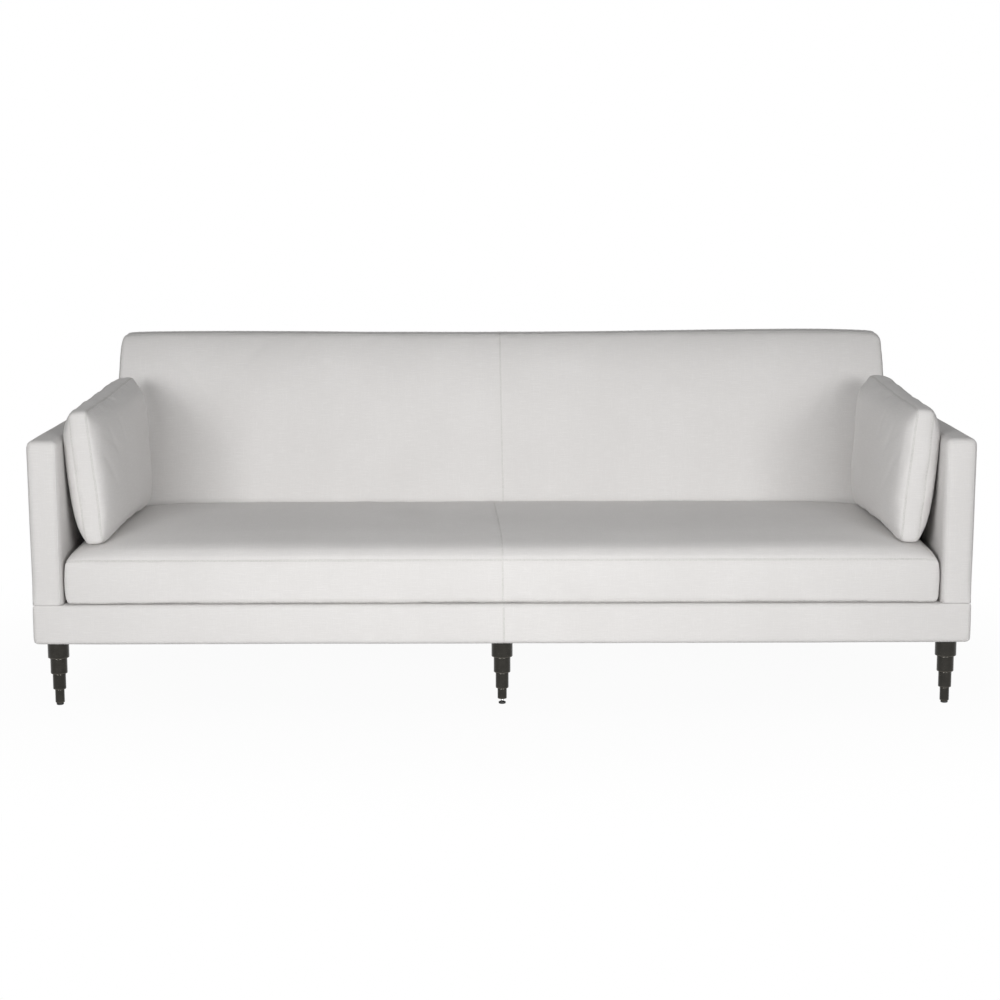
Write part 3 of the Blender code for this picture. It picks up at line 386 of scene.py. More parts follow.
class Nodes:
    """The nodes of one tree, each made through one method."""

    def __init__(self, tree):
        self.tree = tree

    def feed(self, socket, value):
        """Links or sets a socket; a plain colour is given as its red, green and blue."""
        if isinstance(value, Wire):
            self.tree.links.new(value.socket, socket)
        elif socket.type == "RGBA":
            socket.default_value = (*value, 1.0)
        else:
            socket.default_value = value

    def node(self, kind, settings=None, inputs=None, output=0):
        made = self.tree.nodes.new(kind)
        for name, value in (settings or {}).items():
            setattr(made, name, value)
        for name, value in (inputs or {}).items():
            self.feed(made.inputs[name], value)
        return Wire(self, made.outputs[output])


class Look(Nodes):
    """One finish: a material of a Principled shader and what feeds it."""

    def __init__(self, name, colour, roughness, **constants):
        self.material = bpy.data.materials.new(name)
        self.material.use_nodes = True
        super().__init__(self.material.node_tree)
        self.shader = self.tree.nodes["Principled BSDF"]
        self.set(Base_Color=colour, Roughness=roughness, **constants)

    def set(self, **inputs):
        for name, value in inputs.items():
            self.feed(self.shader.inputs[name.replace("_", " ")], value)

    def place(self):
        """The three object coordinates as wires, and the whole vector."""
        vector = self.node("ShaderNodeTexCoord", output="Object")
        return (*self.parts(vector), vector)

    def parts(self, vector):
        inputs = {0: vector}
        return [self.node("ShaderNodeSeparateXYZ", None, inputs, output) for output in range(3)]

    def joined(self, x, y, z):
        return self.node("ShaderNodeCombineXYZ", None, {0: x, 1: y, 2: z})

    def grain(self, vector, scale, detail=2.0, roughness=0.5):
        inputs = {"Vector": vector, "Scale": scale, "Detail": detail, "Roughness": roughness}
        return self.node("ShaderNodeTexNoise", None, inputs)

    def blend(self, share, low, high):
        """A colour between two colours."""
        settings = {"data_type": "RGBA", "clamp_factor": True}
        return self.node("ShaderNodeMix", settings, {0: share, 6: low, 7: high}, output=2)

    def finished(self, colour, roughness, height, strength, distance):
        """The material, once what changes over its surface is fed to it."""
        inputs = {"Height": height, "Strength": strength, "Distance": distance}
        bump = self.node("ShaderNodeBump", None, inputs)
        self.set(Base_Color=colour, Roughness=roughness, Normal=bump)
        return self.material


def cloth_look():
    """Off-white plain weave: fine threads both ways, faint slubs, soft mottling."""
    look = Look("off_white_weave", (0.74, 0.725, 0.705), 0.9)
    look.set(Specular_IOR_Level=0.25, Sheen_Weight=0.12, Sheen_Roughness=0.5)
    x, y, z, place = look.place()
    facing = look.node("ShaderNodeNewGeometry", output="Normal")
    facing_x, facing_y, facing_z = (part.size() for part in look.parts(facing))
    on_side = (facing_x - facing_y).over(0.0) * (facing_x - facing_z).over(0.0)
    on_top = (facing_z - facing_y).over(0.0) * (1.0 - on_side)
    across = x + (y - x) * on_side
    along = z + (y - z) * on_top
    turn = math.tau / CLOTH_THREADS
    weave = (across * turn).sine() * (along * turn).sine()
    slub_across = look.grain(look.joined(across * 26.0, along * 900.0, 0.0), 1.0)
    slub_along = look.grain(look.joined(across * 900.0, along * 26.0, 3.7), 1.0)
    slub = slub_across.ramp(0.45, 0.75) + slub_along.ramp(0.50, 0.80) * 0.7
    mottle = look.grain(place, 5.0, 3.0)
    nap = look.grain(place, 420.0)
    tone = (mottle * 0.45 + nap * 0.35 + slub * 0.25).ramp(0.25, 0.85)
    colour = look.blend(tone, (0.702, 0.686, 0.674), (0.777, 0.763, 0.752))
    roughness = nap.ramp(0.3, 0.7, 0.84, 0.96)
    return look.finished(colour, roughness, weave * 0.22 + slub * 0.30 + nap * 0.35, 0.35, 0.0006)


def seam_painted_shade_look():
    """The same cloth where it is doubled and stitched, its colour darkened as painted shade of its
    sunk stitched line.
    """
    look = Look("off_white_seam", (0.65, 0.64, 0.62), 0.92)
    look.set(Specular_IOR_Level=0.2, Sheen_Weight=0.1, Sheen_Roughness=0.5)
    place = look.place()[3]
    stitches = look.grain(place, 260.0)
    soil = look.grain(place, 9.0, 3.0)
    tone = (stitches * 0.6 + soil * 0.4).ramp(0.25, 0.8)
    # Both colours are darker than the cloth's own: painted shade of the seam's groove.
    colour = look.blend(tone, (0.58, 0.57, 0.55), (0.72, 0.71, 0.69))
    return look.finished(colour, stitches.ramp(0.3, 0.7, 0.86, 0.97), stitches, 0.4, 0.0005)


def bronze_look():
    """Dark brown-black metal with turning marks round it and bare edges on its steps."""
    look = Look("dark_bronze_finish", (0.045, 0.042, 0.036), 0.36, Metallic=0.85)
    x, y, z, place = look.place()
    rings = look.grain(look.joined(x * 8.0, y * 8.0, z * 2600.0), 1.0, 3.0)
    patches = look.grain(place, 60.0, 3.0)
    wear = look.node("ShaderNodeAttribute", {"attribute_name": "wear"}, output="Fac")
    bare = (wear * (0.70 + patches * 0.5)).ramp(0.35, 0.95) * 0.32
    dark = look.blend(patches, (0.024, 0.023, 0.020), (0.050, 0.047, 0.041))
    colour = look.blend(bare, dark, (0.17, 0.155, 0.13))
    roughness = (rings * 0.16 + patches * 0.14).ramp(0.0, 0.3, 0.17, 0.32)
    return look.finished(colour, roughness, rings, 0.12, 0.00008)


def steel_look():
    """Bright turned steel of the levelling stems and the staples."""
    look = Look("bright_steel_finish", (0.62, 0.62, 0.62), 0.25, Metallic=1.0)
    x, y, z, place = look.place()
    rings = look.grain(look.joined(x * 20.0, y * 20.0, z * 3000.0), 1.0)
    stain = look.grain(place, 180.0, 3.0)
    colour = look.blend(stain, (0.52, 0.52, 0.51), (0.70, 0.70, 0.70))
    return look.finished(colour, rings.ramp(0.3, 0.7, 0.18, 0.34), rings, 0.1, 0.00005)


def foot_look():
    """Black moulded foot, slightly scuffed."""
    look = Look("black_foot_finish", (0.02, 0.02, 0.02), 0.5)
    scuff = look.grain(look.place()[3], 240.0, 4.0, 0.6)
    colour = look.blend(scuff.ramp(0.45, 0.8), (0.014, 0.014, 0.014), (0.05, 0.048, 0.045))
    return look.finished(colour, scuff.ramp(0.3, 0.7, 0.42, 0.62), scuff, 0.15, 0.0001)


def cambric_look():
    """Thin black non-woven sheet: a fine grid of pressed dots over tangled fibres."""
    look = Look("black_cambric_finish", (0.03, 0.03, 0.03), 0.95)
    x, y, _, place = look.place()
    turn = math.tau / CAMBRIC_DOTS
    dots = ((x * turn).sine() * (y * turn).sine()).ramp(0.2, 0.9)
    fibres = look.grain(place, 700.0, 3.0, 0.7)
    colour = look.blend(fibres - dots * 0.25, (0.016, 0.016, 0.017), (0.055, 0.055, 0.056))
    roughness = fibres.ramp(0.2, 0.8, 0.85, 1.0)
    return look.finished(colour, roughness, fibres - dots * 0.8, 0.3, 0.0002)


def timber_look():
    """Planed pale hardwood, its rings stretched along each board."""
    look = Look("frame_timber", (0.55, 0.37, 0.20), 0.62)
    x, y, z, place = look.place()
    bend = look.grain(place, 3.0, 3.0)
    rings = ((y * 170.0 + z * 190.0 + bend * 30.0).sine() + 1.0) * 0.5
    fibre = look.grain(look.joined(x * 14.0, y * 260.0, z * 260.0), 1.0, 4.0, 0.6)
    tone = (rings * 0.45 + fibre * 0.55).ramp(0.2, 0.8)
    colour = look.blend(tone, (0.40, 0.245, 0.118), (0.60, 0.43, 0.25))
    return look.finished(colour, fibre.ramp(0.3, 0.7, 0.52, 0.72), fibre, 0.2, 0.0004)


def foam_look():
    """Cut yellow foam with open cells under a haze of fibre."""
    look = Look("cut_foam", (0.80, 0.74, 0.52), 0.95)
    place = look.place()[3]
    cells = look.node("ShaderNodeTexVoronoi", None, {"Vector": place, "Scale": 420.0})
    haze = look.grain(place, 12.0, 3.0)
    tone = cells.ramp(0.05, 0.5) * 0.6 + haze * 0.4
    colour = look.blend(tone, (0.64, 0.56, 0.34), (0.84, 0.79, 0.62))
    return look.finished(colour, haze.ramp(0.3, 0.7, 0.9, 1.0), cells, 0.4, 0.0008)


def web_look():
    """Dark elastic webbing with ribs across it and a fleck."""
    look = Look("elastic_web_weave", (0.12, 0.11, 0.10), 0.85)
    x, y, z, place = look.place()
    ribs = ((x * WEB_RIBS).sine() * (y * WEB_RIBS + z * WEB_RIBS).sine()).ramp(-0.8, 0.8)
    fleck = look.grain(place, 300.0, 3.0, 0.6)
    colour = look.blend(ribs * 0.5 + fleck * 0.5, (0.065, 0.060, 0.055), (0.20, 0.185, 0.165))
    return look.finished(colour, fleck.ramp(0.3, 0.7, 0.75, 0.95), ribs, 0.4, 0.0005)


CLOTH_LOOK = cloth_look()
# The seams' cloth carries painted shade: it is darker than the cloth it joins.
SEAM_CLOTH_PAINTED_SHADE = seam_painted_shade_look()
BRONZE = bronze_look()
STEEL = steel_look()
FOOT = foot_look()
CAMBRIC = cambric_look()
TIMBER = timber_look()
FOAM = foam_look()
WEB = web_look()


# Making pieces
def add_piece(name, mesh, look, body="frame", nodes=()):
    obj = bpy.data.objects.new(name, mesh)
    bpy.context.scene.collection.objects.link(obj)
    mesh.materials.clear()
    mesh.materials.append(look)
    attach(obj, body)
    if nodes:
        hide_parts(*nodes)
    return obj


def mesh_from(bm, name, turn_out=True):
    if turn_out:
        bmesh.ops.recalc_face_normals(bm, faces=bm.faces)
    mesh = bpy.data.meshes.new(name)
    bm.to_mesh(mesh)
    bm.free()
    mesh.shade_smooth()
    return mesh


def settled(mesh, *modifiers):
    """The mesh after some modifiers, each given as its kind and its settings."""
    obj = bpy.data.objects.new("shaping", mesh)
    bpy.context.scene.collection.objects.link(obj)
    for kind, settings in modifiers:
        modifier = obj.modifiers.new(kind.lower(), kind)
        for name, value in settings.items():
            setattr(modifier, name, value)
    bpy.context.view_layer.update()
    graph = bpy.context.evaluated_depsgraph_get()
    made = bpy.data.meshes.new_from_object(obj.evaluated_get(graph))
    bpy.data.objects.remove(obj, do_unlink=True)
    made.shade_smooth()
    return made


def smoothed(levels):
    return "SUBSURF", {"levels": levels, "render_levels": levels}


def evened(size):
    return "REMESH", {"mode": "VOXEL", "voxel_size": size, "adaptivity": 0.0}


def softened(mesh):
    """A copy of a mesh after one subdivision."""
    return settled(mesh.copy(), smoothed(1))


def add_wall(obj, thickness):
    wall = obj.modifiers.new("cloth_wall", "SOLIDIFY")
    wall.thickness = thickness
    wall.offset = -1.0
    wall.edge_crease_outer = wall.edge_crease_inner = 0.9


def add_cloth(name, mesh, nodes, body="frame"):
    return add_piece(name, mesh, CLOTH_LOOK, body, nodes)


def add_thin_cloth(name, mesh, nodes):
    """One layer of cloth, which gets its thickness and then a last subdivision."""
    piece = add_cloth(name, mesh, nodes)
    add_wall(piece, CLOTH)
    soften = piece.modifiers.new("soften", "SUBSURF")
    soften.levels = soften.render_levels = 1
    return piece


def ease(share):
    share = min(1.0, max(0.0, share))
    return share * share * (3.0 - 2.0 * share)


def between(table, x):
    """The value at x of a table of (x, value) pairs, eased from one to the next."""
    if x <= table[0][0]:
        return table[0][1]
    for (low, start), (high, end) in zip(table, table[1:]):
        if x <= high:
            return start + (end - start) * ease((x - low) / (high - low))
    return table[-1][1]


def wander(point, wavelength, seed):
    """A smooth wave from -1 to 1 over the sofa, the same on each run."""
    return noise.noise(Vector(point) / wavelength + Vector((seed, 2.3 * seed, -seed)))


def box_bmesh(low, high):
    low = Vector(low)
    high = Vector(high)
    bm = bmesh.new()
    bmesh.ops.create_cube(bm, size=1.0)
    bmesh.ops.scale(bm, vec=high - low, verts=bm.verts)
    bmesh.ops.translate(bm, vec=(low + high) / 2, verts=bm.verts)
    return bm


def cut_plane(bm, place, way, clear=False):
    """Cuts all faces along a plane, and where asked clears what lies beyond it."""
    geometry = bm.verts[:] + bm.edges[:] + bm.faces[:]
    bmesh.ops.bisect_plane(bm, geom=geometry, plane_co=place, plane_no=way, clear_outer=clear)


def slice_along(bm, axis, places):
    way = Vector((0.0, 0.0, 0.0))
    way[axis] = 1.0
    for place in places:
        cut_plane(bm, way * place, way)


def round_edges(bm, radius, segments):
    edges = bm.edges[:]
    bmesh.ops.bevel(
        bm, geom=edges, offset=radius, segments=segments, affect="EDGES", profile=0.5, material=-1
    )


def cage(xs, ys, zs):
    """A box with loops at the given places."""
    bm = box_bmesh((xs[0], ys[0], zs[0]), (xs[-1], ys[-1], zs[-1]))
    for axis, places in enumerate((xs, ys, zs)):
        slice_along(bm, axis, places[1:-1])
    return bm


def even_places(low, high, step):
    count = max(1, round((high - low) / step))
    return [low + (high - low) * i / count for i in range(1, count)]


def block(low, high, rounding, step, kept=None, cuts=()):
    """A box with round edges and an even grid, open where kept says that a face goes."""
    bm = box_bmesh(low, high)
    round_edges(bm, rounding, 4)
    for axis in range(3):
        slice_along(bm, axis, even_places(low[axis] + rounding, high[axis] - rounding, step))
    for axis, place in cuts:
        slice_along(bm, axis, (place,))
    if kept is not None:
        gone = [face for face in bm.faces if not kept(face.calc_center_median())]
        bmesh.ops.delete(bm, geom=gone, context="FACES")
    return bm


def ripple(bm, amount, wavelength, seed, calm):
    """Lets the cloth of a bmesh stray a little from its flat form, less where it is held."""
    bm.normal_update()
    for vert in bm.verts:
        share = calm(vert.co)
        coarse = wander(vert.co, wavelength, seed)
        fine = wander(vert.co, wavelength * 0.37, seed + 5.0)
        vert.co += vert.normal * amount * share * (coarse + 0.35 * fine)


def outward(mesh):
    """Each point of a mesh with the direction that its surface faces there."""
    return [(vert.co.copy(), vert.normal.copy()) for vert in mesh.vertices]


def move_points(mesh, points):
    mesh.vertices.foreach_set("co", [value for point in points for value in point])
    mesh.update()


def surface_of(mesh):
    """A tree of a mesh's faces, to lay seams on and to measure from."""
    bm = bmesh.new()
    bm.from_mesh(mesh)
    tree = BVHTree.FromBMesh(bm)
    bm.free()
    return tree


def landed(tree, points, way):
    """Where points that are sent along a direction land on a surface."""
    return [tree.ray_cast(Vector(point), Vector(way))[0] for point in points]


def resampled(points, step):
    """Points along a broken line, evenly spaced."""
    points = [Vector(point) for point in points]
    reach = [0.0]
    for start, end in zip(points, points[1:]):
        reach.append(reach[-1] + (end - start).length)
    count = max(3, round(reach[-1] / step))
    result = []
    index = 0
    for i in range(count + 1):
        wanted = reach[-1] * i / count
        while index < len(points) - 2 and reach[index + 1] < wanted:
            index += 1
        share = (wanted - reach[index]) / max(1e-9, reach[index + 1] - reach[index])
        result.append(points[index].lerp(points[index + 1], share))
    return result


def sewn_lines(mesh):
    """The sewn lines of a form, each as its points in order, from the edges marked as seams."""
    links = {}
    for edge in mesh.edges:
        if edge.use_seam:
            start, end = edge.vertices
            links.setdefault(start, []).append(end)
            links.setdefault(end, []).append(start)
    lines = []
    while links:
        ends = [index for index in links if len(links[index]) == 1]
        here = min(ends or links)
        line = [here]
        while links.get(here):
            there = links[here].pop()
            links[there].remove(here)
            line.append(there)
            here = there
        links = {index: others for index, others in links.items() if others}
        lines.append([mesh.vertices[index].co.copy() for index in line])
    return lines


def seam_frames(line, tree, closed, width):
    """Where each ring of a seam goes: across the line, out of the surface, and along it."""
    placed = [tree.find_nearest(point)[:2] for point in line]
    centres = [location for location, normal in placed]
    normals = [normal for location, normal in placed]
    count = len(line)
    inner = range(count) if closed else range(1, count - 1)
    for _ in range(SEAM_ROUNDS):
        last = (centres, normals)
        centres, normals = list(centres), list(normals)
        for i in inner:
            before, after = i - 1, (i + 1) % count
            centres[i] = (last[0][before] + 2.0 * last[0][i] + last[0][after]) / 4.0
            normals[i] = (last[1][before] + 2.0 * last[1][i] + last[1][after]).normalized()
    centres = [tree.find_nearest(centre)[0] for centre in centres]
    frames = []
    for i in range(count):
        ahead = centres[(i + 1) % count] if closed or i < count - 1 else centres[i]
        behind = centres[i - 1] if closed or i else centres[i]
        along = (ahead - behind).normalized()
        side = along.cross(normals[i]).normalized()
        out = side.cross(along)
        pucker = 1.0 + SEAM_PUCKER * math.sin(i * SEAM_STEP * math.tau / SEAM_GATHER)
        turn = Matrix((side * width, out * width * pucker, along)).transposed().to_4x4()
        frames.append(Matrix.Translation(centres[i]) @ turn)
    return frames


def seam_strip(points, tree, closed=False, width=1.0):
    """One plain seam laid on a surface, as a closed strip drawn along its line."""
    line = resampled(points, SEAM_STEP)
    if closed:
        line.pop()
    frames = seam_frames(line, tree, closed, width)
    bm = bmesh.new()
    ring = bmesh.ops.create_circle(bm, segments=len(SEAM_SECTION), radius=1.0)["verts"]
    for vert, (across, up) in zip(ring, SEAM_SECTION):
        vert.co = (across, up, 0.0)
    bmesh.ops.transform(bm, matrix=frames[0], verts=ring)
    first = edges = bm.edges[:]
    for old, new in zip(frames, frames[1:]):
        made = bmesh.ops.extrude_edge_only(bm, edges=edges)["geom"]
        fresh = {item for item in made if isinstance(item, bmesh.types.BMVert)}
        rims = [item for item in made if isinstance(item, bmesh.types.BMEdge)]
        edges = [edge for edge in rims if fresh.issuperset(edge.verts)]
        bmesh.ops.transform(bm, matrix=new @ old.inverted(), verts=list(fresh))
    if closed:
        bmesh.ops.bridge_loops(bm, edges=first + edges)
    else:
        bmesh.ops.holes_fill(bm, edges=first + edges, sides=0)
    bmesh.ops.recalc_face_normals(bm, faces=bm.faces)
    return bm


def add_seams(name, strips, body, look=SEAM_CLOTH_PAINTED_SHADE):
    """All the seams of one piece, as one mesh."""
    whole = bmesh.new()
    for strip in strips:
        mesh = mesh_from(strip, name, turn_out=False)
        whole.from_mesh(mesh)
        bpy.data.meshes.remove(mesh)
    return add_piece(name, mesh_from(whole, name, turn_out=False), look, body)


# Padding
def rise(share, fall):
    """From one in the middle to none at either edge; fall says how late and how roundly."""
    power, rounding = fall
    return max(0.0, 1.0 - abs(share) ** power) ** rounding


def held_near(lines, reach):
    """How firmly a seam holds a point: one on the seam, none at reach from it."""
    points = [point for line in lines for point in resampled(line, HELD_STEP)]
    tree = KDTree(len(points))
    for index, point in enumerate(points):
        tree.insert(point, index)
    tree.balance()
    return lambda point: 1.0 - ease(tree.find(point)[2] / reach)


def cloth_blown(mesh, weights):
    """The mesh after a short cloth simulation with air pressed into it, held by its weights."""
    obj = bpy.data.objects.new("swelling", mesh)
    bpy.context.scene.collection.objects.link(obj)
    group = obj.vertex_groups.new(name="sewn")
    for index, weight in enumerate(weights):
        if weight > 0.0:
            group.add([index], weight, "REPLACE")
    swell = obj.modifiers.new("swell", "CLOTH")
    swell.settings.quality = CLOTH_QUALITY
    swell.settings.mass = CLOTH_MASS
    swell.settings.use_pressure = True
    swell.settings.uniform_pressure_force = CLOTH_PRESSURE
    swell.settings.vertex_group_mass = "sewn"
    swell.settings.effector_weights.gravity = 0.0
    swell.point_cache.frame_start = 1
    swell.point_cache.frame_end = CLOTH_FRAMES
    for step in range(1, CLOTH_FRAMES + 1):
        bpy.context.scene.frame_set(step)
    graph = bpy.context.evaluated_depsgraph_get()
    made = bpy.data.meshes.new_from_object(obj.evaluated_get(graph))
    bpy.data.objects.remove(obj, do_unlink=True)
    bpy.context.scene.frame_set(1)
    return made


def within(beyond):
    """Eases a distance from the form's surface into what the cloth may stand out or slump."""
    below = PROUD - SOFT_STOP * math.log1p(math.exp((PROUD - beyond) / SOFT_STOP))
    return SOFT_STOP * math.log1p(math.exp((below + SLUMP) / SOFT_STOP)) - SLUMP


def spread_out(mesh, values):
    """Values of a mesh's points, each eased towards those of the points beside it."""
    for _ in range(EVENING_ROUNDS):
        sums = list(values)
        counts = [1] * len(values)
        for edge in mesh.edges:
            start, end = edge.vertices
            sums[start] += values[end]
            sums[end] += values[start]
            counts[start] += 1
            counts[end] += 1
        values = [total / count for total, count in zip(sums, counts)]
    return values


def stuffed(form, size, lines, cap, firm=None):
    """A form remade as even cloth: drawn in, blown up between its seams, kept to its own space."""
    space = surface_of(form)
    skin = settled(form, evened(size))
    held = held_near(lines, SEAM_HOLD)
    facing = outward(skin)
    weights = [max(held(point), firm(point) if firm else 0.0) for point, normal in facing]
    start = [
        point - normal * DRAWN_IN * (1.0 - weight)
        for (point, normal), weight in zip(facing, weights)
    ]
    move_points(skin, start)
    blown = cloth_blown(skin, weights)
    ends = []
    standing = []
    for (after, _), before in zip(outward(blown), start):
        moved = after - before
        if moved.length > cap:
            moved *= cap / moved.length
        point = before + moved
        location, normal = space.find_nearest(point)[:2]
        beyond = (point - location).dot(normal)
        ends.append((point - normal * beyond, normal))
        standing.append(within(beyond))
    standing = spread_out(blown, standing)
    move_points(blown, [point + normal * far for (point, normal), far in zip(ends, standing)])
    return settled(blown, smoothed(1))


def gathered(mesh, lines, seed, depth=GATHER_DEPTH, pucker=PUCKER, folding=FOLDING):
    """Draws the cloth in at its seams and puckers it a little beside them."""
    near = held_near(lines, GATHER_REACH)
    beside = held_near(lines, 4.0 * GATHER_REACH)
    points = []
    for point, normal in outward(mesh):
        close = near(point)
        drawn = depth * close * close
        folds = pucker * wander(point, PUCKER_WAVE, seed)
        folds += folding * wander(point, FOLD_WAVE, seed + 7.0)
        folds *= beside(point)
        slack = SLACK * wander(point, SLACK_WAVE, seed + 3.0)
        points.append(point + normal * (folds + slack - drawn))
    move_points(mesh, points)


def front_line(z):
    """Where the reclined front of the back is at height z, before its crown."""
    return FRONT + SEAT_DEPTH + (z - BASE_TOP) * RECLINE_SLOPE


def rear_line(z, set_in=0.0):
    return REAR_FOOT - (z - BASE_TOP) * math.tan(REAR_RAKE) - set_in


def shoulder_share(z):
    return min(1.0, max(0.0, (z - ARM_HEIGHT + SHOULDER_RUN) / (2 * SHOULDER_RUN)))


def back_half(z):
    """Half the width of the back at height z, which narrows above the arms."""
    low_half = ARM_INNER - BACK_SIDE_GAP
    return low_half + (BACK_TOP_HALF - low_half) * shoulder_share(z)


def back_crown(up):
    return BACK_CROWN * rise(2 * up - 1, (4, 0.7))


def back_crest(x, z):
    """How much the top of the back stands above or below its level at x, less lower down."""
    up = max(0.0, (z - BASE_TOP) / BACK_RISE)
    sag = BACK_TOP_SAG * up * rise(x / back_half(z), (4, 0.7))
    return between(BACK_TOP_WAVE, x) * ease((z - BACK_WAVE_FROM) / BACK_WAVE_RUN) - sag


def span(mesh):
    """The lowest and highest corner of a mesh."""
    corners = list(zip(*(vert.co for vert in mesh.vertices)))
    return Vector([min(values) for values in corners]), Vector([max(values) for values in corners])


def fine_form(mesh):
    """A cage subdivided finely, then stretched to the size that one subdivision gives it."""
    low, high = span(softened(mesh))
    form = settled(mesh, smoothed(4))
    fine_low, fine_high = span(form)
    scale = [(high[i] - low[i]) / (fine_high[i] - fine_low[i]) for i in range(3)]
    middle = Matrix.Translation((low + high) / 2)
    back = Matrix.Translation(-(fine_low + fine_high) / 2)
    form.transform(middle @ Matrix.Diagonal((*scale, 1.0)) @ back)
    return form


def mark_sewn(bm, chosen, amount):
    """Marks edges of a cage as seams, and keeps them nearly sharp when it is subdivided."""
    layer = bm.edges.layers.float.new("crease_edge")
    for edge in bm.edges:
        if chosen(edge):
            edge[layer] = amount
            edge.seam = True


def back_form():
    """The back before it is stuffed: reclined, crowned in front, narrowing above the arms."""
    bottom = BASE_TOP - BACK_UNDER
    height = BACK_HEIGHT - bottom
    across = [share * BACK_TOP_HALF for share in BACK_ACROSS]
    across += [BACK_TOP_HALF - BACK_ROUND, BACK_TOP_HALF]
    xs = [-x for x in reversed(across) if x] + across
    zs = [bottom + share * height for share in BACK_UPS]
    zs += [BACK_TOP_LOOP, BACK_HEIGHT - BACK_ROUND, BACK_HEIGHT]
    bm = cage(xs, BACK_THROUGH, zs)

    def rim(edge):
        """The seam between the front panel and the strip over the top and down the ends."""
        ends = [vert.co for vert in edge.verts]
        in_front = all(co.y < SKIN for co in ends)
        on_top = all(co.z > BACK_HEIGHT - SKIN for co in ends)
        at_side = all(abs(co.x) > BACK_TOP_HALF - SKIN for co in ends)
        return in_front and (on_top or (at_side and ends[0].x * ends[1].x > 0))

    mark_sewn(bm, rim, BACK_CREASE)
    for vert in bm.verts:
        x, y_share, z = vert.co
        side = x / BACK_TOP_HALF
        up = (z - BASE_TOP) / BACK_RISE
        near = front_line(z)
        far = rear_line(z) + BACK_UNDER
        crown = back_crown(up) * rise(side, (8, 0.7)) if up > 0.0 else 0.0
        crown -= between(BACK_TOP_FALL, z)
        cut = BACK_CORNER if abs(side) > 1.0 - SKIN and z > BACK_HEIGHT - SKIN else 0.0
        vert.co.x = side * (back_half(z) - cut)
        vert.co.y = near + (far - near) * y_share - crown * (1.0 - y_share)
        vert.co.z = z + back_crest(vert.co.x, z) - cut
    return fine_form(mesh_from(bm, "back_form"))


def back_held(point):
    """How firmly the back's cloth is held: all round its rear and along its foot."""
    behind = point.y - (rear_line(point.z) - BACK_FIRM)
    below = BASE_TOP + BACK_FIRM - point.z
    return ease(2.0 * max(behind, below) / BACK_FIRM)


def rear_edge():
    """The line up one side of the back, over its top and down, where its rear cloth is sewn."""
    line = [(-back_half(z), rear_line(z, -CLOTH), z) for z in REAR_EDGE_UPS]
    x, z = REAR_EDGE_CORNER
    line.append((x - BACK_TOP_HALF, rear_line(z, -CLOTH), z))
    for x in (step * 0.1 for step in range(-10, 1)):
        z = REAR_EDGE_TOP + back_crest(x, BACK_HEIGHT)
        line.append((x, rear_line(REAR_EDGE_TOP, -CLOTH), z))
    return line + [(-x, y, z) for x, y, z in reversed(line[:-1])]


def padded_back():
    """The stuffed back, drawn in at its foot, cut off behind and below where the frame is."""
    form = back_form()
    lines = sewn_lines(form)
    skin = stuffed(form, BACK_WEAVE_STEP, lines, LONG_SWELL, back_held)
    tucked(skin)
    tree = surface_of(skin)
    centre = landed(tree, [(x, -1.0, z) for x, z in BACK_CENTRE_SEAM], BACKWARDS)
    over = [(centre[-1].x, y, 1.0) for y in BACK_SEAM_OVER]
    centre += landed(tree, over, DOWN)
    gathered(skin, lines + [centre], 2.0, depth=0.0018)
    drag_lines(skin, BACK_DRAGS, lambda point, normal: point.x if normal.y < -0.4 else None)
    tree = surface_of(skin)
    bm = bmesh.new()
    bm.from_mesh(skin)
    rake = Vector((0.0, math.cos(REAR_RAKE), math.sin(REAR_RAKE)))
    rear = Vector((0.0, rear_line(BASE_TOP, CLOTH + SKIN), BASE_TOP))
    floor = Vector((0.0, 0.0, BASE_TOP + SKIN))
    cut_plane(bm, rear, rake, clear=True)
    cut_plane(bm, floor, DOWN, clear=True)
    mesh = mesh_from(bm, "padded_back", turn_out=False)
    back = add_cloth("padded_back", mesh, ("inside_back_cover", "back_pad"))
    add_wall(back, CLOTH)
    above = [point for point in lines[0] if point.z > BASE_TOP + 0.01]
    strips = [seam_strip(above, tree, width=FRAME_SEAM), seam_strip(centre, tree, width=JOIN_SEAM)]
    strips.append(seam_strip(rear_edge(), tree, width=REAR_SEAM))
    add_seams("padded_back_seams", strips, "frame")


def tucked(mesh):
    """Draws the back in where the seat cushion's rear edge meets it."""
    level, height, depth = BACK_TUCK
    points = []
    for point, normal in outward(mesh):
        share = math.exp(-(((point.z - level) / height) ** 2)) * ease(-2.0 * normal.y)
        share *= rise(point.x / back_half(level), (8, 1.0))
        points.append(point - normal * depth * share)
    move_points(mesh, points)


def drag_lines(mesh, drags, across_panel):
    """Faint diagonal wrinkles that pull from the corners of a panel."""
    points = []
    for point, normal in outward(mesh):
        place_across = across_panel(point, normal)
        for place, angle, length, depth in drags if place_across is not None else ():
            x, z = place_across - place[0], point.z - place[1]
            across = x * math.sin(angle) - z * math.cos(angle)
            along = x * math.cos(angle) + z * math.sin(angle)
            if 0.0 < along < length:
                share = math.exp(-((across / DRAG_WIDTH) ** 2))
                share *= math.sin(math.pi * along / length)
                point += normal * depth * share
        points.append(point)
    move_points(mesh, points)


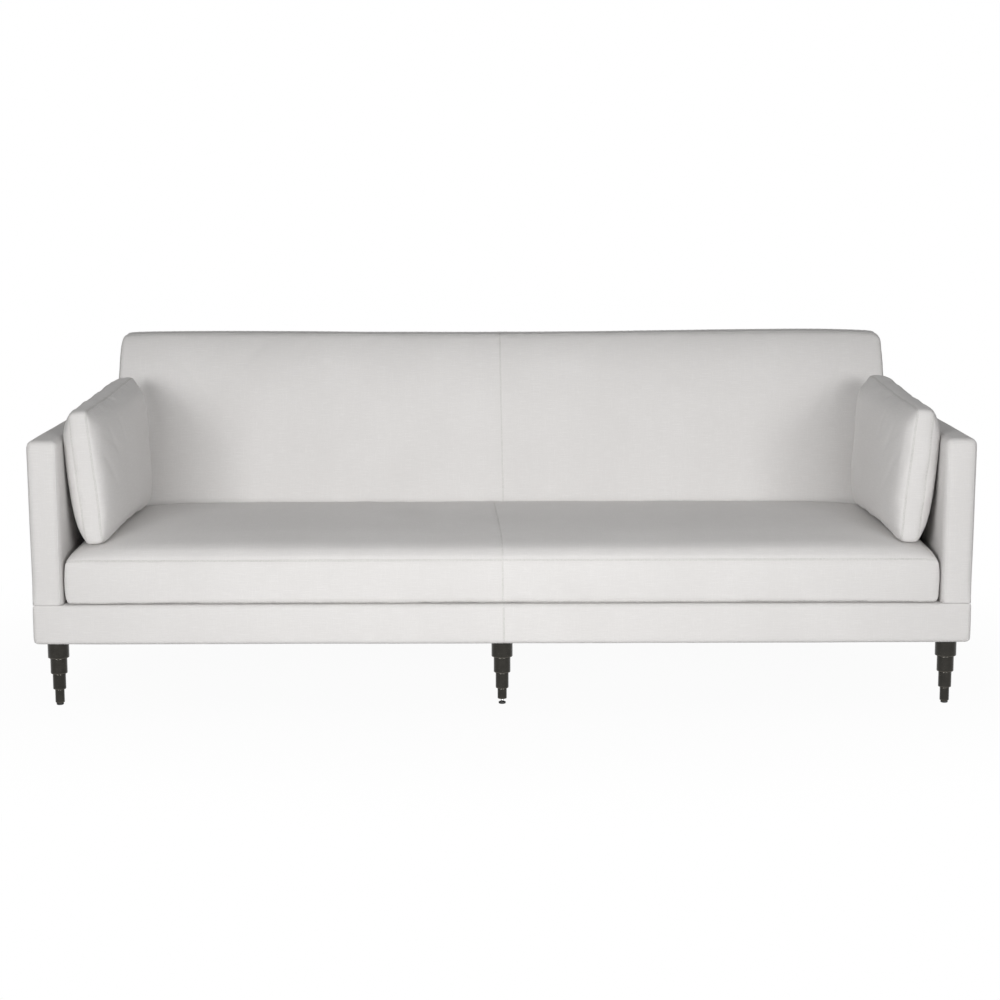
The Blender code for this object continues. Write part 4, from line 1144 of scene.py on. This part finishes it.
def seat_form():
    """The seat cushion before it is stuffed: flat below, crowned, its rear along the back."""
    bm = cage(
        [share * SEAT_HALF for share in SEAT_ACROSS],
        SEAT_ALONG,
        [0.0, SEAT_BOXING / 2, SEAT_BOXING],
    )

    def rim(edge):
        ends = [vert.co for vert in edge.verts]
        level = all(abs(co.z - SEAT_BOXING / 2) > SKIN for co in ends)
        at_end = all(abs(co.x) > SEAT_HALF - SKIN for co in ends)
        at_side = all(abs(co.y) > 1.0 - SKIN for co in ends)
        apart = (ends[0] - ends[1]).length > SEAT_HALF
        return level and (at_end or at_side) and not apart

    mark_sewn(bm, rim, BOXING_CREASE)
    layer = bm.edges.layers.float["crease_edge"]
    for edge in bm.edges:
        if all(abs(vert.co.x) > SEAT_HALF - SKIN and vert.co.y < SKIN - 1.0 for vert in edge.verts):
            edge[layer] = SEAT_CORNER_CREASE
    for vert in bm.verts:
        x, along, z = vert.co
        side = x / SEAT_HALF
        crown = SEAT_CROWN * rise(side, SEAT_END_FALL)
        fullness = SEAT_REAR_FULL**along
        if along < 0:
            fall = SEAT_FORWARD_FALL[0] + SEAT_FORWARD_FALL[1] * (1.0 - side**4) ** 2
            fullness = rise(along, SEAT_FRONT_FALL) * (1.0 + fall * along)
        at_rear = SEAT_REAR_FULL * max(0.0, along) ** 3 * z / SEAT_BOXING
        lift = crown * (fullness if z > SEAT_BOXING - SKIN else at_rear)
        bulge = SEAT_BULGE if abs(z - SEAT_BOXING / 2) < SKIN else 0.0
        level = SEAT_BOTTOM + z + lift
        up = (level - BASE_TOP) / BACK_RISE
        rear = front_line(level) - back_crown(up) - SEAT_BACK_GAP
        vert.co.y = SEAT_FRONT + (rear - SEAT_FRONT) * (along + 1.0) / 2
        if along < SKIN - 1.0:
            vert.co.y -= bulge - SEAT_PULL * (1.0 - side * side)
        if abs(side) > 1.0 - SKIN:
            vert.co.x = x + math.copysign(bulge - SEAT_PULL * (1.0 - along * along), side)
        vert.co.z = level
    return fine_form(mesh_from(bm, "seat_form"))


def seat_cushion():
    """The long boxed cushion, with the join of its panels over its front and top."""
    form = seat_form()
    lines = sewn_lines(form)
    on_deck = SEAT_BOTTOM + 0.001
    skin = stuffed(form, SEAT_WEAVE_STEP, lines, LONG_SWELL, lambda point: point.z < on_deck)
    tree = surface_of(skin)
    front_x = SEAT_CENTRE_SEAM[0][0]
    centre = landed(tree, [(front_x, -1.0, BASE_TOP + up) for up in SEAT_FACE_SEAM], BACKWARDS)
    centre += landed(tree, [(x, y, 1.0) for x, y in SEAT_CENTRE_SEAM], DOWN)
    gathered(skin, lines + [centre], 4.0)
    cushion = loose_cushion("seat_cushion", skin, lines, [centre])


def loose_cushion(node, skin, lines, joins=()):
    """A stuffed cushion with the seams round its boxing, and those that join its panels."""
    cushion = add_cloth(node + "_cloth", skin, (node,), node)
    tree = surface_of(skin)
    strips = [seam_strip(line, tree, closed=True, width=BOXING_SEAM) for line in lines]
    strips += [seam_strip(line, tree, width=JOIN_SEAM) for line in joins]
    add_seams(node + "_seams", strips, node)
    return cushion


def side_cage(side):
    """The cage of a side cushion, upright at the origin, fuller where it leans on the arm."""
    half_x = SIDE_BOXING / 2
    half_y = SIDE_LENGTH / 2
    half_z = SIDE_HEIGHT / 2
    bm = cage(
        [-half_x, 0.0, half_x],
        [share * half_y for share in SIDE_ALONG],
        [share * half_z for share in SIDE_UPS],
    )

    def rim(edge):
        ends = [vert.co for vert in edge.verts]
        on_panel = all(abs(co.x) > half_x - SKIN for co in ends)
        outer = [abs(co.y) > half_y - SKIN or abs(co.z) > half_z - SKIN for co in ends]
        around = all(abs(co.y) > half_y - SKIN for co in ends)
        around = around or all(abs(co.z) > half_z - SKIN for co in ends)
        return on_panel and all(outer) and around and ends[0].x * ends[1].x > 0

    mark_sewn(bm, rim, BOXING_CREASE)
    for vert in bm.verts:
        x, y, z = vert.co
        along = y / half_y
        up = z / half_z
        on_panel = abs(x) > half_x - SKIN
        if x * side > 0:
            fall = (16, 0.6) if along < 0 else (6, 0.6)
            fall_up = (6, 0.6) if up > 0 else (4, 0.6)
            crown_share = SIDE_OUTER_FULL
        else:
            fall = (10, 0.5)
            fall_up = (8, 0.5) if up > 0 else (4, 0.6)
            crown_share = 1.0 + SIDE_TOP_FULL * max(0.0, up) * ease(along + 0.5)
        crown = SIDE_CROWN * rise(along, fall) * rise(up, fall_up) * crown_share
        bulge = 0.0 if on_panel else SIDE_BULGE
        pull = SIDE_PULL if up < 0 else SIDE_TOP_PULL
        at_end, at_edge = abs(along) > 1.0 - SKIN, abs(up) > 1.0 - SKIN
        cut = SIDE_CORNERS[up > 0][along > 0] if at_end and at_edge else 0.0
        if on_panel:
            vert.co.x = math.copysign(half_x + crown, x)
        if at_end:
            vert.co.y = math.copysign(half_y + bulge - pull * (1.0 - up * up) - cut, y)
        if at_edge:
            vert.co.z = math.copysign(half_z + bulge - pull * (1.0 - along * along) - cut, z)
        vert.co.z += SIDE_TOP_SLOPE * along * max(0.0, up)
    return bm


def side_cushion(hand, side):
    """A boxed cushion that stands on the seat and leans on the arm."""
    node = f"side_cushion_{hand}"
    lean = Matrix.Rotation(side * SIDE_LEAN, 4, "Y")
    toe = Matrix.Rotation(side * SIDE_TOE, 4, "Z")
    turn = toe @ lean @ Matrix.Rotation(SIDE_PITCH, 4, "X")
    mould = mesh_from(side_cage(side), node + "_form")
    solid = softened(mould)
    solid.transform(turn)
    low, high = span(solid)
    node_low, node_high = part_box(node)
    form = fine_form(mould)
    moved = (node_low + node_high - low - high) / 2
    moved.x += side * SIDE_OUTWARDS
    moved.z = node_low.z - low.z
    form.transform(Matrix.Translation(moved) @ turn)
    lines = sewn_lines(form)
    skin = stuffed(form, SIDE_WEAVE_STEP, lines, SIDE_SWELL)
    gathered(skin, lines, 6.0 + side, depth=0.0018, pucker=0.0012, folding=0.0030)
    drag_lines(skin, SIDE_DRAGS, lambda at, normal: at.y if normal.x * side < -0.5 else None)
    cushion = loose_cushion(node, skin, lines)


# Upholstered frame
def pillow(bm, low, high, amount):
    """Lets each panel of a box stand a little proud of its edges."""
    bm.normal_update()
    centre = (Vector(low) + Vector(high)) / 2
    half = (Vector(high) - Vector(low)) / 2
    for vert in bm.verts:
        shares = [min(1.0, abs(vert.co[i] - centre[i]) / half[i]) for i in range(3)]
        axis = max(range(3), key=lambda i: abs(vert.normal[i]))
        fullness = 1.0
        for other in range(3):
            if other != axis:
                fullness *= 1.0 - shares[other] ** 6
        vert.co += vert.normal * amount * fullness * abs(vert.normal[axis]) ** 3


def arm_drawn(bm):
    """Tightens an arm's outer corners towards the base, and splays its outer side."""
    for vert in bm.verts:
        x, y, z = vert.co
        low_down = 1.0 - ease((z - BASE_TOP) / ARM_TIGHT_RUN)
        away = Vector((x - HALF_WIDTH + ARM_ROUND, abs(y) + FRONT + ARM_ROUND))
        if low_down > 0.0 and away.x > 0.0 and away.y > 0.0:
            radius = ARM_ROUND + (EDGE_ROUND - ARM_ROUND) * low_down
            away *= radius / ARM_ROUND
            vert.co.x = HALF_WIDTH - radius + away.x
            vert.co.y = math.copysign(away.y - FRONT - radius, y)
        share = ease((vert.co.x - ARM_INNER) / (HALF_WIDTH - ARM_INNER))
        vert.co.x += ARM_SPLAY * share * max(0.0, z - BASE_TOP) / (ARM_HEIGHT - BASE_TOP)


def padded_arm(hand, side):
    """The padded cloth round an arm, down to the bands in front and behind and to its own hem."""
    low = (ARM_INNER, FRONT, BASE_BOTTOM)
    high = (HALF_WIDTH, REAR, ARM_HEIGHT)
    seat_level = BASE_TOP + SKIN
    band_end = -FRONT - HEM - SKIN

    def kept(centre):
        hem = centre.x > HALF_WIDTH - HEM and abs(centre.y) < band_end
        return hem or centre.z > seat_level

    def calm(point):
        return ease((point.z - BASE_BOTTOM) / ARM_CALM_RUN)

    cuts = ((2, seat_level), (1, -band_end), (1, band_end), (0, HALF_WIDTH - HEM))
    bm = block(low, high, ARM_ROUND, ARM_STEP, kept, cuts)
    pillow(bm, low, high, ARM_PILLOW)
    ripple(bm, PANEL_RIPPLE, ARM_RIPPLE_WAVE, 11.0 + side, calm)
    arm_drawn(bm)
    if side < 0:
        bmesh.ops.scale(bm, vec=(-1.0, 1.0, 1.0), verts=bm.verts)
    mesh = mesh_from(bm, f"padded_arm_{hand}")
    nodes = (f"arm_cover_{hand}", f"arm_pad_{hand}")
    arm = add_thin_cloth(f"padded_arm_{hand}", mesh, nodes)
    tree = surface_of(softened(mesh))
    inset = ARM_ROUND * (1.0 - math.sqrt(0.5))
    inner = side * (ARM_INNER + inset)
    outer = side * (HALF_WIDTH - inset)
    top = ARM_HEIGHT - inset
    outline = [(outer, BASE_TOP + SEAM_FOOT)]
    outline += [(outer - side * across, top - down) for across, down in ARM_SEAM_TURN]
    outline += [(inner + side * across, top - down) for across, down in reversed(ARM_SEAM_TURN)]
    outline += [(inner, BASE_TOP + SEAM_FOOT)]
    strips = []
    for y in (FRONT + inset, REAR - inset):
        strips.append(seam_strip([(x, y, z) for x, z in outline], tree, width=JOIN_SEAM))
    add_seams(f"padded_arm_{hand}_seams", strips, "frame", CLOTH_LOOK)


def base_band(name, facing):
    """The cloth of the front or rear band: its face, its wraps round the ends and its hem."""
    low = (-HALF_WIDTH, FRONT, BASE_BOTTOM)
    high = (HALF_WIDTH, FRONT + HEM + 2 * EDGE_ROUND, BASE_TOP)
    hem_end = FRONT + HEM

    def kept(centre):
        lip = centre.z > BASE_TOP - EDGE_ROUND and centre.y > FRONT + EDGE_ROUND
        wrap = abs(centre.x) > HALF_WIDTH - EDGE_ROUND
        return centre.y < hem_end and (wrap or not lip)

    bm = block(low, high, EDGE_ROUND, BAND_STEP, kept, ((1, hem_end),))
    before, run = BAND_TIGHTEN
    for vert in bm.verts:
        tighten = ease((abs(vert.co.x) - ARM_INNER + before) / run)
        away = Vector((vert.co.y - FRONT - EDGE_ROUND, vert.co.z - BASE_TOP + EDGE_ROUND))
        if tighten > 0.0 and away.x < 0.0 and away.y > 0.0:
            radius = EDGE_ROUND + (BAND_TIGHT_ROUND - EDGE_ROUND) * tighten
            away *= radius / max(away.length, 1e-6)
            vert.co.y = FRONT + radius + away.x
            vert.co.z = BASE_TOP - radius + away.y
    pillow(bm, low, high, BAND_PILLOW)
    ripple(bm, PANEL_RIPPLE, BAND_RIPPLE_WAVE, 21.0 + facing, lambda point: BAND_CALM)
    if facing > 0:
        bmesh.ops.scale(bm, vec=(1.0, -1.0, 1.0), verts=bm.verts)
    mesh = mesh_from(bm, name)
    band = add_thin_cloth(name, mesh, (name + "_cover",))
    face = -facing * FRONT
    line = [(face - facing * inwards, BASE_TOP - down) for inwards, down in BAND_SEAM_TOP]
    line += [(face - facing * inwards, BASE_BOTTOM + up) for inwards, up in BAND_SEAM_FOOT]
    line = [(BAND_CENTRE_SEAM, y, z) for y, z in line]
    strip = seam_strip(line, surface_of(softened(mesh)), width=FRAME_SEAM)
    add_seams(name + "_seam", [strip], "frame")


def outside_back():
    """The stretched rear cloth of the back, raked with it, its upper corners rounded."""
    bottom = BASE_TOP + SKIN
    top = BACK_HEIGHT - OUTSIDE_BACK_DROP
    bm = bmesh.new()
    columns, rows = OUTSIDE_BACK_GRID
    bmesh.ops.create_grid(bm, x_segments=columns, y_segments=rows, size=1.0)
    for vert in bm.verts:
        across, up, _ = vert.co
        z = bottom + (top - bottom) * (up + 1.0) / 2
        near_top = max(0.0, z - top + BACK_ROUND)
        drawn_in = BACK_ROUND - math.sqrt(max(0.0, BACK_ROUND**2 - near_top**2))
        fullness = (1.0 - across**8) * (1.0 - up**8)
        slack = OUTSIDE_BACK_SLACK * wander((across * 1.1, 0.0, z), OUTSIDE_BACK_WAVE, 31.0)
        y = rear_line(z) + (OUTSIDE_BACK_FULL + slack) * fullness
        x = across * (back_half(z) - drawn_in)
        vert.co = (x, y, z + back_crest(x, z))
    bmesh.ops.recalc_face_normals(bm, faces=bm.faces)
    bm.normal_update()
    bm.faces.ensure_lookup_table()
    if bm.faces[0].normal.y < 0.0:
        bmesh.ops.reverse_faces(bm, faces=bm.faces)
    mesh = mesh_from(bm, "outside_back", turn_out=False)
    piece = add_thin_cloth("outside_back", mesh, ("outside_back_cover",))


def deck():
    """The foam slab over the webbing and the cloth stretched over it, both sagging a little."""
    cover_low, cover_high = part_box("deck_cover")
    pad_low, pad_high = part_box("deck_pad")

    def sag(bm):
        for vert in bm.verts:
            across = vert.co.x / cover_high.x
            along = (2 * vert.co.y - cover_high.y - cover_low.y) / (cover_high.y - cover_low.y)
            vert.co.z -= DECK_SAG * rise(across, (8, 1)) * rise(along, (4, 1))

    bm = block(pad_low, pad_high, FOAM_ROUND, DECK_STEP)
    sag(bm)
    pad = add_piece("deck_foam", mesh_from(bm, "deck_foam"), FOAM, nodes=("deck_pad",))
    bm = block(cover_low, cover_high, DECK_CLOTH_ROUND, DECK_STEP)
    sag(bm)
    mesh = mesh_from(bm, "deck_cloth")
    cover = add_cloth("deck_cloth", mesh, ("deck_cover",))
    start = Vector((BAND_CENTRE_SEAM, cover_low.y + DECK_SEAM_END, BASE_TOP))
    end = Vector((BAND_CENTRE_SEAM, cover_high.y - DECK_SEAM_END, BASE_TOP))
    strip = seam_strip([start, end], surface_of(mesh), width=FRAME_SEAM)
    add_seams("deck_cloth_seam", [strip], "frame")


def underside():
    """The black cambric under the frame, a little slack, and the staples round its edge."""
    low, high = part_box("dust_cover")
    bm = bmesh.new()
    columns, rows = CAMBRIC_GRID
    bmesh.ops.create_grid(bm, x_segments=columns, y_segments=rows, size=1.0)
    for vert in bm.verts:
        across, along, _ = vert.co
        x, y = across * high.x, along * high.y
        slack = CAMBRIC_SLACK * rise(across, (10, 1)) * rise(along, (6, 1))
        folds = CAMBRIC_FOLDS * wander((x, y, 0.0), CAMBRIC_WAVE, 41.0)
        folds *= rise(along, (10, 1)) * rise(across, (20, 1))
        vert.co = (x, y, low.z + 2 * SKIN - slack - folds)
    bmesh.ops.reverse_faces(bm, faces=bm.faces)
    mesh = mesh_from(bm, "cambric", turn_out=False)
    sheet = add_piece("cambric", mesh, CAMBRIC, nodes=("dust_cover",))
    add_wall(sheet, CAMBRIC_WALL)
    staples(high.x - STAPLE_INSET, high.y - STAPLE_INSET, low.z - 0.0001)


def staples(half_x, half_y, z):
    """A row of flat staples along each edge of the cambric, not quite in line."""
    places = []
    for i in range(STAPLES_ALONG + 1):
        x = half_x * (2 * i / STAPLES_ALONG - 1)
        places += [(x, -half_y, 0.0), (x, half_y, 0.0)]
    for i in range(1, STAPLES_ACROSS):
        y = half_y * (2 * i / STAPLES_ACROSS - 1)
        places += [(-half_x, y, 0.5), (half_x, y, 0.5)]
    bm = bmesh.new()
    size = Matrix.Diagonal((*STAPLE_SIZE, 1.0))
    for x, y, turn in places:
        verts = bmesh.ops.create_cube(bm, size=1.0)["verts"]
        turn += STAPLE_SLANT * wander((x, y, 0.5), 0.05, 43.0)
        way = Matrix.Rotation(turn * math.pi, 4, "Z")
        bmesh.ops.transform(bm, matrix=Matrix.Translation((x, y, z)) @ way @ size, verts=verts)
    round_edges(bm, STAPLE_EDGE, 1)
    add_piece("cambric_staples", mesh_from(bm, "cambric_staples"), STEEL)


# Legs and glides
def lathe(profile, sides, place=(0.0, 0.0, 0.0), wear=()):
    """A profile of (radius, height) points turned round Z; wear marks the points on bare edges."""
    bm = bmesh.new()
    layer = bm.verts.layers.float.new("wear")
    verts = []
    for index, (radius, height) in enumerate(profile):
        vert = bm.verts.new((radius, 0.0, height))
        vert[layer] = 1.0 if index in wear else 0.0
        verts.append(vert)
    edges = [bm.edges.new(pair) for pair in zip(verts, verts[1:])]
    bmesh.ops.spin(
        bm,
        geom=verts + edges,
        cent=(0.0, 0.0, 0.0),
        axis=(0.0, 0.0, 1.0),
        angle=math.tau,
        steps=sides,
        use_merge=True,
    )
    bmesh.ops.remove_doubles(bm, verts=bm.verts, dist=0.00001)
    bmesh.ops.translate(bm, vec=place, verts=bm.verts)
    return bm


def leg_profile(foot):
    """Stepped outline from the stud's tip to the foot's height, then up the glide's bore."""
    top = BASE_BOTTOM - SKIN
    points = [(radius, top + up) for radius, up in STUD]
    wear = []
    heights = (*LEG_UPPER_HEIGHTS, top - sum(LEG_UPPER_HEIGHTS) - foot)
    z = top
    cut = LEG_CHAMFER
    upper_loop, lower_loop = LEG_EDGE_LOOPS
    for diameter, height in zip(LEG_DIAMETERS, heights):
        radius = diameter / 2
        points += [(radius - LEG_TOP_CUT, z), (radius, z - LEG_TOP_CUT), (radius, z - upper_loop)]
        z -= height
        points += [(radius, z + lower_loop), (radius, z + cut)]
        wear += [len(points) - 1, len(points), len(points) + 1]
        points += [(radius - LEG_BULGE * cut, z + LEG_BULGE * cut), (radius - cut, z)]
        points += [(radius - LEG_WEAR_REACH * cut, z)]
    points += [(radius, z + up) for radius, up in BORE]
    return points, wear


def leg(name, x, y, foot):
    points, wear = leg_profile(foot)
    mesh = mesh_from(lathe(points, LEG_SIDES, (x, y, 0.0), wear), name + "_turned")
    add_piece(name + "_turned", mesh, BRONZE, nodes=(name,))


def glide_foot(node, x, y):
    """A round moulded foot, domed under and shouldered above, with the socket of its stem."""
    points = [(radius, GLIDE_PAD_HEIGHT - down) for radius, down in GLIDE_PAD_UPPER]
    bm = lathe(points + list(GLIDE_PAD_LOWER), GLIDE_PAD_SIDES, (x, y, 0.0))
    mesh = mesh_from(bm, node + "_moulded")
    add_piece(node + "_moulded", mesh, FOOT, node, (node,))


def glide_stem(node, x, y):
    """A threaded steel stem with a cone and a neck that turns in the foot's socket."""
    foot = GLIDE_PAD_HEIGHT - GLIDE_SOCKET
    shoulder = GLIDE_PAD_HEIGHT + STEM_SHOULDER
    top = foot + STEM_LENGTH
    start = top - THREAD_START
    row = THREAD_PITCH / THREAD_ROWS
    rows = round((start - shoulder - STEM_CONE[0][1]) / row)
    points = [(radius, top - down) for radius, down in STEM_TIP]
    points += [(THREAD_MIDDLE, start - i * row) for i in range(rows)]
    points += [(radius, shoulder + up) for radius, up in STEM_CONE]
    points += [(STEM_NECK, foot), (0.0, foot)]
    bm = lathe(points, STEM_SIDES)
    for vert in bm.verts:
        radius = math.hypot(vert.co.x, vert.co.y)
        if abs(radius - THREAD_MIDDLE) < THREAD_DEPTH / 10:
            turn = math.atan2(vert.co.y, vert.co.x) / math.tau
            phase = ((vert.co.z / THREAD_PITCH - turn) % 1.0) * 2.0 - 1.0
            scale = (THREAD_RADIUS - THREAD_DEPTH * (1.0 - abs(phase))) / radius
            vert.co.x *= scale
            vert.co.y *= scale
    bmesh.ops.translate(bm, vec=(x, y, 0.0), verts=bm.verts)
    mesh = mesh_from(bm, node + "_threaded")
    add_piece(node + "_threaded", mesh, STEEL, node, (node,))


def legs():
    for node in sorted(NODES):
        if node.startswith("leg_"):
            low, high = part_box(node)
            x, y = (low.x + high.x) / 2, (low.y + high.y) / 2
            centre = CENTRE_LEG_SHORTER if node.endswith("centre") else 0.0
            leg(node, x, y, GLIDE_PAD_HEIGHT + SKIN + centre)
            place = node[len("leg_"):]
            glide_foot(f"glide_pad_{place}", x, y)
            glide_stem(f"glide_stem_{place}", x, y)


# Studio
def softbox(name, place, aim, power):
    light = bpy.data.lights.new(name, "AREA")
    light.shape = "RECTANGLE"
    light.size, light.size_y = BOX_SIZE
    light.spread = BOX_SPREAD
    light.energy = power
    obj = bpy.data.objects.new(name, light)
    obj.location = place
    obj.rotation_euler = (Vector(aim) - Vector(place)).to_track_quat("-Z", "Y").to_euler()
    bpy.context.scene.collection.objects.link(obj)


def studio():
    """Two soft boxes in front, a faint even light, a white floor that keeps a soft shadow, with a
    painted shadow pool round the sofa.
    """
    scene = bpy.context.scene
    scene.view_settings.view_transform = "Standard"
    for (hand, side), power in zip(HANDS, BOX_POWERS):
        place = (side * BOX_SIDE, BOX_FRONT, BOX_HEIGHT)
        softbox(f"{hand}_box", place, (-side * BOX_AIM, 0.0, BOX_AIM_HEIGHT), power)
    world = bpy.data.worlds.new("studio")
    world.use_nodes = True
    scene.world = world
    nodes = Nodes(world.node_tree)
    back, white = (
        nodes.node("ShaderNodeBackground", None, {"Color": WHITE, "Strength": strength})
        for strength in (AMBIENT, 1.0)
    )
    mix = nodes.node("ShaderNodeMixShader", None, {0: seen(nodes), 1: back, 2: white})
    nodes.feed(nodes.tree.nodes["World Output"].inputs["Surface"], mix)
    bm = bmesh.new()
    bmesh.ops.create_grid(bm, x_segments=1, y_segments=1, size=FLOOR_SIZE)
    floor = bpy.data.objects.new("floor", mesh_from(bm, "floor", turn_out=False))
    scene.collection.objects.link(floor)
    floor.data.materials.append(floor_shadow_pool_look())


def floor_shadow_pool_look():
    """Plain white to the camera, darkened round the sofa by a painted shadow pool, where some of
    the lit floor paint and the sofa's real shadow show.
    """
    look = Look("floor_paint", FLOOR_PAINT, 1.0)
    place = look.place()[3]
    scale = (1.0 / PAINTED_SHADOW_POOL[0], 1.0 / PAINTED_SHADOW_POOL[1], 1.0)
    reach = look.node("ShaderNodeVectorMath", {"operation": "MULTIPLY"}, {0: place, 1: scale})
    away = look.node("ShaderNodeVectorMath", {"operation": "LENGTH"}, {0: reach}, "Value")
    # Painted shadow pool: near the sofa less white glow and more lit paint, so the floor darkens
    # there even where no real shadow falls.
    share = seen(look) * away.ramp(PAINTED_SHADOW_START, 1.0, WHITE_IN_PAINTED_SHADOW, 1.0)
    paint = Wire(look, look.shader.outputs[0])
    glow = look.node("ShaderNodeEmission")
    mix = look.node("ShaderNodeMixShader", None, {0: share, 1: paint, 2: glow})
    look.feed(look.tree.nodes["Material Output"].inputs["Surface"], mix)
    return look.material


def seen(nodes):
    """One for the rays of the camera and those that a mirror or glass sends on, else none."""
    straight, mirrored, through = (
        nodes.node("ShaderNodeLightPath", output=f"Is {kind} Ray")
        for kind in ("Camera", "Glossy", "Transmission")
    )
    return straight.maths("MAXIMUM", mirrored).maths("MAXIMUM", through)


def camera():
    lens = bpy.data.cameras.new("camera")
    lens.lens = LENS
    lens.sensor_width = SENSOR
    obj = bpy.data.objects.new("camera", lens)
    down = Matrix.Rotation(math.radians(90.0) - CAMERA_DOWN, 4, "X")
    turn = Matrix.Rotation(CAMERA_ROLL, 4, "Z")
    obj.matrix_world = Matrix.Translation(CAMERA_PLACE) @ down @ turn
    bpy.context.scene.collection.objects.link(obj)
    bpy.context.scene.camera = obj


def dress_frame():
    """Gives the hidden boards and webbing, which stay as they are, their finishes."""
    finishes = {"timber": TIMBER, "elastic_web": WEB}
    for obj in NODES.values():
        if obj.hide_render:
            continue
        for slot_of_node in obj.material_slots:
            for word, look in finishes.items():
                if slot_of_node.material and slot_of_node.material.name.startswith(word):
                    slot_of_node.material = look


def main():
    camera()
    studio()
    padded_back()
    seat_cushion()
    for hand, side in HANDS:
        side_cushion(hand, side)
        padded_arm(hand, side)
    base_band("front_band", -1)
    base_band("rear_band", 1)
    outside_back()
    deck()
    underside()
    legs()
    dress_frame()


main()
